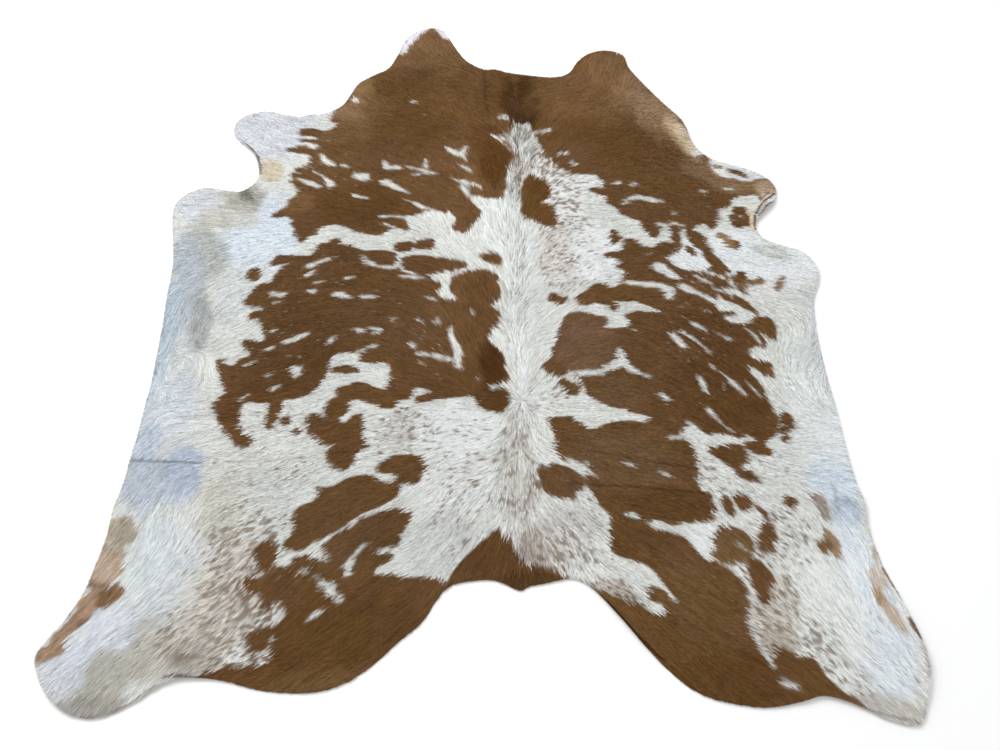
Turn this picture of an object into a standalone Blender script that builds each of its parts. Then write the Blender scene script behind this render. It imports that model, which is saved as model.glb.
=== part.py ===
"""Cowhide rug: one tanned hide with the hair on, spread on a floor.

The whole skin is one piece: a broad back, a belly edge down each side, two
forelegs, two hind legs, the neck's two flaps and a notch over the tail. It is
cut along one wavy line and is never trimmed square. It lies flat, apart from
soft folds left from storing it and edges that curl a little off the floor.

Metres, +Z up. The neck points along +Y, the floor is z = 0, and the origin is
the middle of the hide's bounding box on the floor.
"""

import math

import bmesh
import bpy
import numpy as np
from mathutils import Vector
from mathutils.geometry import delaunay_2d_cdt

# Driving dimensions
THICKNESS = 0.004        # tanned skin with the close-lying hair pressed on it
OUTLINE_STEP = 0.022     # spacing of the points along the cut edge
FLAT_STEP = 0.070        # spacing of the points where the hide lies flat
RAISED_STEP = 0.036      # spacing of the points where it stands off the floor
RAISED_FROM = 0.0006     # height above which a place counts as raised
EDGE_ROWS = (0.013, 0.032)   # rows of points this far inside the cut edge
FOLD_ROWS = (-0.036, -0.023, -0.013, -0.006, 0.0, 0.006, 0.013, 0.023, 0.036)
FOLD_STEP = 0.028        # spacing of the points along a fold
CREASE_DEPTH = 0.75      # how far a fold's thin line cuts into its ridge, as a share of it
CREASE_WIDTH = 0.006     # half width of that line
CLEARANCE = 0.60         # points closer together than this share of a step are left out
FOLD_CLEARANCE = 0.006   # the same for the rows along the folds, as a distance
FOLD_INSET = 0.012       # fold points keep this far from the cut edge
FOLD_END = 0.050         # length over which a fold fades out at each end
FLAT_BELOW = 0.0004      # a rise lower than this lies flat on the floor
CURVE_STEPS = 24         # steps of the smooth curve between two landmarks

HAIR_COLOUR = (0.62, 0.60, 0.57, 1.0)

# The cut edge, clockwise from the neck. Each row is a landmark on the line, and
# a smooth curve runs through all of them.
#          x       y
NECK = (
    (-0.195,  1.130), (-0.160,  1.120), (-0.132,  1.075), (-0.110,  1.030), (-0.072,  0.967),
    (-0.034,  0.933), (0.000,  0.914), (0.034,  0.917), (0.080,  0.898), (0.140,  0.887),
    (0.210,  0.877), (0.258,  0.884), (0.290,  0.912), (0.314,  0.957), (0.350,  0.996),
    (0.400,  1.016), (0.448,  1.010), (0.478,  0.985), (0.487,  0.930), (0.522,  0.862),
    (0.582,  0.760), (0.630,  0.680), (0.648,  0.625), (0.658,  0.570), (0.682,  0.522),
)
RIGHT_FORELEG = (
    (0.722,  0.486), (0.780,  0.462), (0.836,  0.436), (0.877,  0.403), (0.892,  0.357),
    (0.870,  0.301), (0.825,  0.254), (0.804,  0.208), (0.822,  0.160), (0.870,  0.136),
    (0.926,  0.107), (0.952,  0.056), (0.946,  0.004),
)
RIGHT_BELLY = (
    (0.922, -0.058), (0.911, -0.150), (0.908, -0.300), (0.908, -0.460), (0.911, -0.600),
    (0.918, -0.655), (0.913, -0.712), (0.923, -0.784), (0.942, -0.862),
)
RIGHT_HIND_LEG = (
    (0.959, -0.935), (0.967, -1.000), (0.960, -1.048), (0.937, -1.108), (0.915, -1.137),
    (0.858, -1.127), (0.790, -1.096), (0.730, -1.080), (0.684, -1.091), (0.600, -1.103),
    (0.500, -1.087), (0.440, -1.058), (0.374, -0.995), (0.310, -0.918),
)
RUMP = (
    (0.255, -0.856), (0.214, -0.833), (0.146, -0.844), (0.103, -0.853), (0.088, -0.863),
    (0.072, -0.852), (0.034, -0.837), (-0.005, -0.837), (-0.062, -0.847), (-0.093, -0.876),
)
LEFT_HIND_LEG = (
    (-0.125, -0.928), (-0.178, -0.974), (-0.228, -1.020), (-0.285, -1.056), (-0.355, -1.074),
    (-0.454, -1.071), (-0.554, -1.049), (-0.628, -1.045), (-0.672, -1.056), (-0.721, -1.091),
    (-0.786, -1.122), (-0.851, -1.117), (-0.907, -1.082), (-0.947, -1.026), (-0.953, -0.990),
    (-0.916, -0.927),
)
LEFT_BELLY = (
    (-0.887, -0.855), (-0.880, -0.803), (-0.874, -0.734), (-0.878, -0.668), (-0.869, -0.590),
    (-0.867, -0.450), (-0.870, -0.300), (-0.876, -0.170), (-0.887, -0.050), (-0.895,  0.066),
    (-0.912,  0.150),
)
LEFT_FORELEG = (
    (-0.931,  0.240), (-0.934,  0.295), (-0.905,  0.342), (-0.854,  0.367), (-0.795,  0.354),
    (-0.742,  0.352), (-0.703,  0.393), (-0.712,  0.464), (-0.748,  0.528), (-0.800,  0.580),
    (-0.818,  0.638), (-0.792,  0.684), (-0.727,  0.706), (-0.665,  0.688), (-0.605,  0.677),
    (-0.572,  0.692), (-0.545,  0.690), (-0.504,  0.712), (-0.473,  0.741), (-0.455,  0.788),
    (-0.432,  0.845), (-0.380,  0.890), (-0.338,  0.922), (-0.309,  0.995), (-0.287,  1.068),
    (-0.245,  1.115),
)
OUTLINE = (
    NECK + RIGHT_FORELEG + RIGHT_BELLY + RIGHT_HIND_LEG
    + RUMP + LEFT_HIND_LEG + LEFT_BELLY + LEFT_FORELEG
)

# Folds left from storing the hide: a low, soft ridge with a thin line pressed into it.
#   name                 start x, y         end x, y      ridge height  ridge half width
FOLDS = (
    ("left flank",    -0.872, -0.542,  -0.640, -0.550,  0.0070,  0.026),
    ("left saddle",   -0.640, -0.550,  -0.400, -0.532,  0.0030,  0.030),
    ("right saddle",   0.270, -0.515,   0.520, -0.558,  0.0045,  0.024),
    ("right loin",     0.200, -0.602,   0.545, -0.628,  0.0060,  0.026),
    ("right flank",    0.812, -0.652,   0.918, -0.640,  0.0045,  0.022),
)

# Places where the cut edge lifts off the floor.
#   name                  x       y     reach along  width inwards  height
CURLS = (
    ("left foreleg notch",  -0.722,  0.470,  0.085,  0.034,  0.013),
    ("left foreleg tip",    -0.930,  0.270,  0.090,  0.060,  0.008),
    ("left brisket",        -0.640,  0.684,  0.110,  0.060,  0.006),
    ("left flank edge",     -0.884, -0.820,  0.100,  0.050,  0.007),
    ("left hind toe",       -0.930, -1.030,  0.100,  0.060,  0.012),
    ("left hind sole",      -0.640, -1.046,  0.080,  0.045,  0.007),
    ("right thigh edge",     0.320, -0.930,  0.095,  0.036,  0.010),
    ("right hind sole",      0.730, -1.082,  0.090,  0.050,  0.006),
    ("right hind toe",       0.958, -1.000,  0.110,  0.042,  0.013),
    ("right flank edge",     0.916, -0.670,  0.080,  0.050,  0.006),
    ("right foreleg tip",    0.940,  0.060,  0.080,  0.060,  0.007),
    ("right foreleg notch",  0.848,  0.270,  0.070,  0.040,  0.014),
    ("right neck edge",      0.640,  0.630,  0.080,  0.045,  0.008),
    ("left neck tip",       -0.205,  1.120,  0.080,  0.060,  0.006),
)

# Low swells where the skin does not lie quite flat.
#   name                   x       y    half length  half width  turn, degrees  height
SWELLS = (
    ("left foreleg",       -0.845,  0.250,  0.110,  0.045,   70.0,  0.009),
    ("left elbow",         -0.700,  0.345,  0.080,  0.035,   35.0,  0.008),
    ("left chest",         -0.800,  0.060,  0.150,  0.040,   85.0,  0.006),
    ("left belly",         -0.790, -0.230,  0.150,  0.045,   95.0,  0.006),
    ("left belly hollow",  -0.760, -0.480,  0.060,  0.040,   90.0,  0.004),
    ("left shank",         -0.800, -0.930,  0.120,  0.050,   60.0,  0.007),
    ("left thigh",         -0.660, -0.990,  0.070,  0.035,   10.0,  0.006),
    ("right foreleg",       0.830,  0.110,  0.110,  0.045,  -20.0,  0.008),
    ("right belly",         0.850, -0.160,  0.160,  0.040,   90.0,  0.006),
    ("right belly low",     0.860, -0.430,  0.120,  0.040,   90.0,  0.005),
    ("right shank",         0.880, -0.900,  0.130,  0.045,  -70.0,  0.008),
    ("right shoulder",      0.560,  0.640,  0.120,  0.040,  -60.0,  0.005),
    ("right neck flap",     0.440,  0.900,  0.090,  0.040,  -65.0,  0.006),
    ("left neck flap",     -0.230,  1.030,  0.090,  0.045,   70.0,  0.006),
    ("neck fold",           0.000,  0.840,  0.100,  0.025,   90.0,  0.004),
)


def smooth_closed_curve(landmarks, step):
    """Points about `step` apart on a closed Catmull-Rom curve through the landmarks."""
    knots = np.array(landmarks)
    count = len(knots)
    fine = []
    for i in range(count):
        a, b, c, d = (knots[(i + k) % count] for k in (-1, 0, 1, 2))
        for t in np.linspace(0.0, 1.0, CURVE_STEPS, endpoint=False):
            fine.append(0.5 * (
                2 * b + (c - a) * t
                + (2 * a - 5 * b + 4 * c - d) * t ** 2
                + (3 * b - a - 3 * c + d) * t ** 3
            ))
    fine = np.array(fine)
    lengths = np.linalg.norm(np.roll(fine, -1, axis=0) - fine, axis=1)
    along = np.concatenate([[0.0], np.cumsum(lengths)])
    closed = np.vstack([fine, fine[:1]])
    places = np.linspace(0.0, along[-1], int(round(along[-1] / step)), endpoint=False)
    return np.column_stack([np.interp(places, along, closed[:, k]) for k in (0, 1)])


def edge_distance(points, outline):
    """How far each point is from the cut edge."""
    starts = outline
    spans = np.roll(outline, -1, axis=0) - starts
    nearest = np.full(len(points), np.inf)
    for start, span in zip(starts, spans):
        offset = points - start
        t = np.clip(offset @ span / (span @ span), 0.0, 1.0)
        nearest = np.minimum(nearest, np.linalg.norm(offset - t[:, None] * span, axis=1))
    return nearest


def is_inside(points, outline):
    """True for each point that lies inside the cut edge."""
    inside = np.zeros(len(points), dtype=bool)
    for (x0, y0), (x1, y1) in zip(outline, np.roll(outline, -1, axis=0)):
        crosses = (y0 > points[:, 1]) != (y1 > points[:, 1])
        rise = y1 - y0 if y1 != y0 else 1e-12
        inside ^= crosses & (points[:, 0] < x0 + (points[:, 1] - y0) / rise * (x1 - x0))
    return inside


def smoothstep(t):
    """0 below 0, 1 above 1, and a soft step between them."""
    t = np.clip(t, 0.0, 1.0)
    return t * t * (3.0 - 2.0 * t)


def inner_row(outline, inset):
    """The outline moved inwards, without the points that come too near the edge again."""
    tangents = np.roll(outline, -1, axis=0) - np.roll(outline, 1, axis=0)
    tangents /= np.linalg.norm(tangents, axis=1)[:, None]
    inward = np.column_stack([tangents[:, 1], -tangents[:, 0]])
    row = outline + inset * inward
    still_inset = edge_distance(row, outline) > 0.93 * inset
    return row[is_inside(row, outline) & still_inset]


def fold_points(fold):
    """Rows of points along a fold, close enough together to carry its ridge and line."""
    _, x0, y0, x1, y1, _, _ = fold
    start = np.array((x0, y0))
    span = np.array((x1 - x0, y1 - y0))
    length = np.linalg.norm(span)
    along = span / length
    across = np.array((-along[1], along[0]))
    steps = np.linspace(0.0, length, int(length / FOLD_STEP) + 1)
    return np.array([start + s * along + w * across for w in FOLD_ROWS for s in steps])


def lattice(outline, step):
    """An even triangular lattice over the inside of the hide, clear of its edge rows."""
    low = outline.min(axis=0)
    high = outline.max(axis=0)
    row_step = step * math.sqrt(3.0) / 2.0
    points = []
    for row, y in enumerate(np.arange(low[1], high[1], row_step)):
        shift = step / 2.0 if row % 2 else 0.0
        points += [(x, y) for x in np.arange(low[0] + shift, high[0], step)]
    points = np.array(points)
    return points[is_inside(points, outline) & (edge_distance(points, outline) > EDGE_ROWS[1])]


def thinned(points, taken, clearance):
    """The points that keep their distance from those already taken and from each other."""
    kept = [Vector(p) for p in taken]
    first_new = len(kept)
    for p in points:
        candidate = Vector(p)
        if all((candidate - other).length_squared > clearance ** 2 for other in kept):
            kept.append(candidate)
    return [tuple(p) for p in kept[first_new:]]


def fold_height(points, fold):
    """A soft ridge with the fold line pressed into it, fading out at its two ends."""
    _, x0, y0, x1, y1, height, half_width = fold
    start = np.array((x0, y0))
    span = np.array((x1 - x0, y1 - y0))
    length = np.linalg.norm(span)
    along = (points - start) @ (span / length)
    across = (points - start) @ np.array((-span[1], span[0])) / length
    ridge = np.exp(-(across / half_width) ** 2)
    line = 1.0 - CREASE_DEPTH * np.exp(-(across / CREASE_WIDTH) ** 2)
    from_ends = np.minimum(along, length - along)
    return height * ridge * line * smoothstep(0.5 + from_ends / FOLD_END)


def curl_height(points, from_edge, curl):
    """The cut edge rising off the floor about one place on it."""
    _, x, y, reach, width, height = curl
    near = np.exp(-(np.hypot(points[:, 0] - x, points[:, 1] - y) / reach) ** 2)
    return height * near * smoothstep(1.0 - from_edge / width)


def swell_height(points, swell):
    """One long, low swell."""
    _, x, y, half_length, half_width, turn, height = swell
    c, s = math.cos(math.radians(turn)), math.sin(math.radians(turn))
    dx, dy = points[:, 0] - x, points[:, 1] - y
    along = (c * dx + s * dy) / half_length
    across = (c * dy - s * dx) / half_width
    return height * np.exp(-(along ** 2 + across ** 2))


def lift(points, outline):
    """How high the underside stands off the floor at each point."""
    from_edge = edge_distance(points, outline)
    height = np.zeros(len(points))
    for fold in FOLDS:
        height = np.maximum(height, fold_height(points, fold))
    for curl in CURLS:
        height += curl_height(points, from_edge, curl)
    for swell in SWELLS:
        height += swell_height(points, swell)
    return np.maximum(height - FLAT_BELOW, 0.0)


def hide_layout():
    """The plan of the hide: its points, the cut edge's first, its triangles and its outline."""
    outline = smooth_closed_curve(OUTLINE, OUTLINE_STEP)
    folds = np.vstack([fold_points(fold) for fold in FOLDS])
    clear_of_edge = edge_distance(folds, outline) > FOLD_INSET
    fine = lattice(outline, RAISED_STEP)
    coarse = lattice(outline, FLAT_STEP)

    inner = thinned(inner_row(outline, EDGE_ROWS[0]), [], CLEARANCE * OUTLINE_STEP)
    inner += thinned(folds[is_inside(folds, outline) & clear_of_edge], inner, FOLD_CLEARANCE)
    inner += thinned(inner_row(outline, EDGE_ROWS[1]), inner, CLEARANCE * RAISED_STEP)
    inner += thinned(fine[lift(fine, outline) > RAISED_FROM], inner, CLEARANCE * RAISED_STEP)
    inner += thinned(coarse[lift(coarse, outline) <= RAISED_FROM], inner, CLEARANCE * FLAT_STEP)

    points = [Vector(p) for p in outline] + [Vector(p) for p in inner]
    loop = list(range(len(outline)))
    plan, _, faces, _, _, _ = delaunay_2d_cdt(points, [], [loop], 1, 1e-5)
    return np.array([tuple(p) for p in plan]), faces, outline


def signed_area(corners):
    """Twice the area of a plan triangle, positive when its corners run anticlockwise."""
    (x0, y0), (x1, y1), (x2, y2) = corners
    return (x1 - x0) * (y2 - y0) - (x2 - x0) * (y1 - y0)


def build_hide():
    """The hide's closed sheet: an upper and a lower skin joined by the cut edge."""
    plan, faces, outline = hide_layout()
    heights = lift(plan, outline)
    middle = 0.5 * (outline.min(axis=0) + outline.max(axis=0))
    centred = plan - middle

    hide = bmesh.new()
    lower = [hide.verts.new((x, y, z)) for (x, y), z in zip(centred, heights)]
    upper = [hide.verts.new((x, y, z + THICKNESS)) for (x, y), z in zip(centred, heights)]
    for face in faces:
        corners = list(face) if signed_area([plan[i] for i in face]) > 0 else list(face)[::-1]
        hide.faces.new([upper[i] for i in corners])
        hide.faces.new([lower[i] for i in reversed(corners)])
    for a in range(len(outline)):
        b = (a + 1) % len(outline)
        hide.faces.new((upper[a], upper[b], lower[b], lower[a]))
    loose = [v for v in hide.verts if not v.link_faces]
    bmesh.ops.delete(hide, geom=loose, context="VERTS")
    bmesh.ops.triangulate(hide, faces=hide.faces[:])
    bmesh.ops.recalc_face_normals(hide, faces=hide.faces[:])

    mesh = bpy.data.meshes.new("hide")
    hide.to_mesh(mesh)
    hide.free()
    return mesh


def hair_on_skin():
    """The rug's plain material: pale hair over tanned skin."""
    material = bpy.data.materials.new("hair on skin")
    material.use_nodes = True
    shader = material.node_tree.nodes["Principled BSDF"]
    shader.inputs["Base Color"].default_value = HAIR_COLOUR
    shader.inputs["Roughness"].default_value = 0.75
    shader.inputs["Metallic"].default_value = 0.0
    return material


def clear_scene():
    """Removes whatever objects the scene holds."""
    for thing in list(bpy.data.objects):
        bpy.data.objects.remove(thing, do_unlink=True)


def main():
    clear_scene()
    mesh = build_hide()
    mesh.materials.append(hair_on_skin())
    rug = bpy.data.objects.new("hide", mesh)
    bpy.context.scene.collection.objects.link(rug)


main()
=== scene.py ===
"""A whole cowhide floor rug: its tanned skin, short brown and white coat, long spine hair and stage."""

import functools
import math

import bmesh
import bpy
import numpy as np
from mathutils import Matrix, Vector
from mathutils.bvhtree import BVHTree


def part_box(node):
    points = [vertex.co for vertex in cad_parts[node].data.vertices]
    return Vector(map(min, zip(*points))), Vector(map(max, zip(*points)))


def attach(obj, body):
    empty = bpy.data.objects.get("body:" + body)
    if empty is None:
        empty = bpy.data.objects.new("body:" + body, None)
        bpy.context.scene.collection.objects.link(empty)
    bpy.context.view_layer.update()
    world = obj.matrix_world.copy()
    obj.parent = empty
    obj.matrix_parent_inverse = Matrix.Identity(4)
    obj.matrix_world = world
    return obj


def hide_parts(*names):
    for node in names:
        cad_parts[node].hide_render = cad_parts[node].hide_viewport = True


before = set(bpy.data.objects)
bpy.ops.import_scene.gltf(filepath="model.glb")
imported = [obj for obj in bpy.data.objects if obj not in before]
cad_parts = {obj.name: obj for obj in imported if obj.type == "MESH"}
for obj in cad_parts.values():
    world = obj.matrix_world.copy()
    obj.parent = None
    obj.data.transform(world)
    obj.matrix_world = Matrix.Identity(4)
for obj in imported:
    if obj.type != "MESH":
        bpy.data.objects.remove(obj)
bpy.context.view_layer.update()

bl_info = {
    "name": "Cowhide Rug",
    "version": (1, 0, 0),
    "blender": (4, 5, 0),
    "location": "3D View > Sidebar > Cowhide",
    "description": "Builds the skin, coat, spine hair and stage of a whole cowhide floor rug",
    "category": "Object",
}

# ---------------------------------------------------------------------------------------------
# Tables. Places are centimetres from a point near the middle of the back, x to the right and
# y to the neck, and colours are sRGB, 0 to 255, as the hide looks in soft daylight.
# ---------------------------------------------------------------------------------------------

TABLE_ZERO = (-0.00595, 0.00337)  # where the tables' zero lies in the frame, in metres

# Brown fields of the coat: corners of a rounded closed line, clockwise.
PATCHES = {
    "neck and left shoulder": (
        (9, 67), (9.5, 93), (-15, 120), (-36, 113), (-34, 95), (-49, 86), (-52, 76), (-50, 71.5),
        (-50.5, 68.5), (-51, 66.5), (-48.5, 65), (-50, 62.8), (-52.5, 61), (-54.5, 59.5), (-54.5, 57),
        (-56, 55.5), (-58, 54.5), (-58, 51.5), (-55.5, 50.5), (-55.3, 48), (-57, 46), (-58.5, 44.5),
        (-57.5, 43), (-60, 42), (-60, 39), (-58, 37), (-57.5, 34), (-59.5, 32), (-60.5, 29), (-63, 27),
        (-63.8, 25), (-62, 24.5), (-60, 25), (-58, 24), (-57, 21), (-56, 18), (-54.5, 15.3), (-53, 15.5),
        (-51.5, 17.5), (-49, 18), (-49, 20), (-46.5, 21.5), (-43, 21.8), (-40, 20.5), (-37.5, 19), (-33, 18),
        (-29.5, 18.2), (-28, 20), (-25, 20.5), (-23.5, 19.5), (-22.3, 21), (-23.5, 24.8), (-20, 26),
        (-17.5, 27.2), (-13, 27), (-9.8, 26), (-8.5, 24.5), (-9.3, 22), (-9.8, 20.5), (-6.5, 18.8),
        (-4.5, 19.5), (-3.5, 21.5), (-1, 25), (-0.5, 26.5), (-2.5, 29), (-4.3, 31.5), (-4, 33.4), (-2, 33.2),
        (1, 32.6), (4, 32), (6, 32.6), (6.3, 36), (6.5, 39), (6.8, 42), (7.6, 46), (9, 49), (8.6, 51.5),
        (6, 55), (2.5, 58.6), (1.5, 60), (4.5, 59.6), (7, 61), (8.8, 64),
    ),
    "right neck and shoulder": (
        (9, 67), (9, 93), (25, 95), (45, 108), (62, 85), (70, 62), (66, 53.5), (65, 50.5), (67, 50.5),
        (69.5, 51.8), (71, 50), (70.5, 47.5), (71, 45), (72, 43), (74.5, 41), (77, 41), (79, 40), (82, 39.5),
        (84, 40.5), (88, 40.5), (93, 38), (91, 33), (88, 33.5), (84, 34.5), (82, 34), (80, 33.5), (77, 33),
        (75, 32), (74.5, 30), (72.5, 28.5), (70.5, 28), (70.5, 25.5), (69.5, 23), (68.5, 21), (66.5, 21.5),
        (64.5, 22), (62.5, 20.5), (60, 20.5), (57.5, 20.5), (55, 20.5), (52.9, 21.4), (52, 19), (51, 17.3),
        (49.5, 17), (48, 18.5), (46.5, 21.5), (46, 23.5), (43.5, 24.5), (41, 26), (40, 27.5), (38.5, 29.5),
        (36.8, 31), (36.5, 35), (36, 38), (35.5, 41), (32.5, 42.5), (29, 42.5), (26, 43.5), (23.3, 45.3),
        (20.8, 47.8), (19, 50.5), (17.7, 54), (16.6, 57), (15, 60), (14.6, 62.5), (13.6, 65), (11, 64.5),
    ),
    "left saddle": (
        (-61.6, 7.2), (-59.7, 10.3), (-57, 10.5), (-50.4, 10.3), (-49.5, 12.5), (-47.9, 14.6), (-46, 15),
        (-44.5, 16.8), (-43, 16.5), (-41.5, 14.5), (-38.5, 14), (-36, 12.5), (-33, 12.2), (-30.6, 12.1),
        (-28, 12), (-25.5, 11), (-24.8, 9), (-24.5, 6.5), (-24, 4.8), (-20, 3.5), (-16, 3), (-13, 1.5),
        (-12, -1), (-13, -3), (-11.5, -5), (-7, -5.3), (-9, -3.5), (-9.8, -1), (-9, 1), (-6.5, 1.8),
        (-4.5, 3.2), (-1.5, 4.4), (2.2, 2.8), (4, 0.4), (4.8, -3), (4.4, -5.5), (2.2, -7.7), (4, -9),
        (5, -10.5), (4.7, -13), (3, -15.5), (1.5, -17.8), (2.2, -20), (4, -21.8), (6, -24.5), (6.4, -28),
        (7.2, -31), (6, -33.5), (7.5, -36), (6.8, -39), (5.6, -40.6), (1.6, -40.3), (-1.5, -38), (-2, -36.3),
        (-6, -36.5), (-12, -37.3), (-16.5, -38), (-17, -36.5), (-14, -35), (-16, -33.8), (-19, -34.5),
        (-21, -37), (-22.5, -39.5), (-26, -39.5), (-27.5, -37.6), (-31, -36.8), (-36, -36.6), (-38.3, -35),
        (-36.5, -33), (-32, -31.9), (-28.5, -33.3), (-26, -34.2), (-24.3, -32.5), (-24.4, -29), (-25, -26.6),
        (-27, -26), (-30, -26), (-31.8, -24.2), (-34, -23), (-37, -22.8), (-40, -24), (-40.5, -27),
        (-41, -30), (-43, -33.5), (-45, -35.7), (-49, -37.2), (-51, -37.3), (-51.2, -40), (-52.2, -43),
        (-52.4, -45), (-54, -45.9), (-55.4, -44), (-54.9, -40), (-55.5, -38), (-56.5, -38.2), (-58.5, -38.4),
        (-60.5, -38), (-62, -40), (-61.3, -42.5), (-62, -44.3), (-66, -44.8), (-67.5, -43), (-68.5, -41),
        (-69.5, -39.5), (-68.5, -37), (-67, -35), (-68, -33), (-69, -30.5), (-70, -28.5), (-70.5, -25.5),
        (-69.5, -24.8), (-68, -26.5), (-66, -26.5), (-64.5, -24.5), (-62.5, -24), (-64, -21.5), (-65, -20),
        (-64, -18.5), (-60.5, -19.5), (-59.5, -18.5), (-60, -15.5), (-62, -12.5), (-64.5, -11.5),
        (-64, -9.5), (-61.5, -9), (-64, -8), (-66.8, -6.5), (-66.5, -5), (-65, -2), (-63.5, 0), (-62.5, 1),
        (-60.5, 0.5), (-59.8, 2.5), (-59, 4.5), (-58, 6), (-60, 6.5),
    ),
    "right saddle and loin": (
        (34.5, 10.5), (37, 11.7), (39.5, 12), (40, 13.5), (41, 15.5), (42.5, 16.5), (44, 16.3), (45.5, 14.5),
        (48, 13.2), (50, 13.8), (51.5, 15.5), (54, 15.2), (57.5, 15), (57, 12.5), (55.5, 10.8), (54, 10),
        (54.2, 8), (55, 6.5), (56.5, 5.5), (59, 5), (61, 5), (63.5, 5), (65, 6.5), (67, 6.5), (69.5, 5),
        (69, 3), (71, 3.2), (73.5, 4.5), (75, 3.8), (74.8, 2), (76, 1), (75.5, -0.5), (74.3, -1.5),
        (74, -3.5), (72.5, -3), (71, -1.5), (69.5, -1.5), (67.5, -3), (66, -3.5), (65, -5), (64, -6),
        (65, -8.5), (66, -10.5), (67, -12.5), (70, -13.5), (73, -12.5), (74.5, -11), (76.5, -11),
        (78, -10.8), (79.5, -13), (80, -15), (79.8, -17), (79, -18.8), (77.5, -18.5), (76, -16.8),
        (75.5, -17.2), (76.5, -19.5), (76, -21.3), (74, -21), (71.5, -22.5), (72, -24.5), (74, -25.5),
        (76, -25.5), (77, -27.5), (76.5, -30), (74.5, -30), (73, -28.5), (71.5, -27.5), (70.5, -28.5),
        (72, -31), (73.5, -34), (73.8, -36), (74.5, -38.5), (75, -41), (75.8, -43), (75.5, -45), (75, -46.3),
        (74, -47.6), (72, -48.6), (70, -49.3), (67.5, -48.2), (64.5, -48), (62, -47), (60, -46.8),
        (57.5, -47.2), (56, -46.3), (54.5, -45.3), (53, -44.6), (51.5, -45), (50.3, -46.8), (50.5, -48.2),
        (51.8, -49.2), (52.9, -51), (53.5, -53.5), (53.3, -56), (53.1, -58.5), (52.7, -61.2), (53.8, -62.5),
        (55.6, -62.8), (56, -65), (55.6, -68.8), (53.6, -69.8), (51, -70), (47.5, -70.3), (45, -70.8),
        (43, -70), (41, -69.5), (38, -70.5), (34, -72), (31, -72), (30.5, -68.5), (29.5, -67), (28, -65.5),
        (27, -63.5), (26.3, -62), (25.5, -60), (25.3, -58.5), (26.4, -57.5), (24.3, -56.1), (21.7, -55.1),
        (19.8, -54.2), (18.6, -52.3), (18.3, -50), (17.8, -46.5), (16.5, -42.8), (18, -42), (20, -42),
        (22.5, -42), (25, -44), (27.5, -45.5), (29.5, -45), (31.5, -44), (34, -43.5), (36.5, -43),
        (39, -43.3), (41.5, -43.5), (42.5, -42), (40.5, -41.5), (38, -40.8), (36.5, -39.8), (34, -39.5),
        (31, -38.5), (28.5, -37), (27, -35.5), (26.2, -33.5), (25.3, -31.5), (22.5, -29.8), (20, -30.3),
        (18, -30), (16, -28.5), (15.7, -27), (17, -25.5), (18.5, -24), (18.2, -22), (19.5, -19.5),
        (20.3, -17), (21, -14), (22, -11.5), (24, -10), (26.5, -9.5), (29, -10), (31, -11), (33.5, -11.2),
        (34.5, -13), (33, -14.5), (35, -15), (38.5, -14.8), (39.8, -13), (39, -11), (40.5, -9.8), (43, -9.2),
        (48.5, -9.5), (46.5, -8), (44, -6.8), (42, -6), (39, -6.3), (37, -6), (37.5, -7.5), (37, -9.5),
        (35.5, -9), (35, -7.5), (33, -7), (31, -6.8), (28.5, -7.5), (26, -6.5), (25.5, -5), (27, -3.5),
        (29, -2), (30.5, -0.5), (32, 0.3), (34.5, 0), (35, -1.3), (36.5, -1), (38, 0), (39.3, 2), (40, 4.3),
        (39.5, 5.2), (37.7, 6), (39, 7.5), (38, 9), (36, 9.5),
    ),
    "right thigh": (
        (30.5, -70), (32, -68.5), (35, -69), (38, -69.6), (40.5, -70.3), (42, -71.6), (44.5, -72.2),
        (46.8, -73), (48.5, -74.5), (50, -76.5), (51.5, -78.6), (53.5, -79.3), (54.7, -78), (54.3, -76),
        (54.5, -74), (55, -72.2), (57, -71), (60, -71.2), (62.3, -72.4), (63.6, -74.5), (63.7, -77),
        (62.2, -79), (59.5, -79.8), (57.5, -80.6), (58.3, -82.2), (59.4, -83.6), (60.2, -85.3), (60.3, -87),
        (60, -90), (59.4, -93), (59.8, -95.5), (60.8, -98), (61.6, -100.5), (63, -102.3), (63.6, -100),
        (65, -98.4), (67.3, -99), (69, -100.4), (71.5, -100), (73, -102), (74.5, -104.5), (77, -107.5),
        (81, -110), (76, -113), (60, -115), (40, -110), (25, -96), (23, -85), (26, -86.2), (31, -88.2),
        (36, -89.5), (37.5, -90.5), (39, -91.5), (42, -91), (41, -89.5), (42.5, -88.3), (44.5, -88.8),
        (43, -86.5), (41.5, -84.5), (40, -82), (38, -80), (34, -79), (30.5, -77.5), (30, -76), (30.5, -73.5),
    ),
    "left loin": (
        (-40, -61), (-37.5, -61), (-35, -60.5), (-33, -59), (-30, -58), (-27, -58), (-25, -59), (-23, -60),
        (-20, -60.5), (-19.5, -62), (-20.5, -64), (-23, -65.6), (-25, -66.5), (-28, -67.9), (-30, -69.2),
        (-31.5, -70.8), (-33.5, -72.2), (-36, -73.5), (-39, -75.3), (-41.5, -76.6), (-44.5, -76.8),
        (-46.2, -75.3), (-44.6, -73.3), (-44.3, -71), (-44.8, -69), (-44.2, -66.8), (-42, -65.5),
        (-40, -64.5), (-39.5, -62.5),
    ),
    "left rump": (
        (-22, -67), (-19, -66.5), (-16.5, -68), (-16.5, -70), (-18, -72), (-19, -74.5), (-19.5, -76),
        (-22.5, -76.8), (-20, -77.5), (-20, -79), (-22, -80), (-24, -81.5), (-25, -84), (-33, -84),
        (-31.5, -80), (-34, -79.3), (-36, -77.5), (-36.8, -75.5), (-35, -73.8), (-32.5, -71.9),
        (-30.5, -70.3), (-27, -68),
    ),
    "left thigh": (
        (-7, -84.2), (-10, -83.2), (-14, -83.1), (-19, -82.5), (-24.5, -82), (-28, -80.5), (-31, -79.3),
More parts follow.
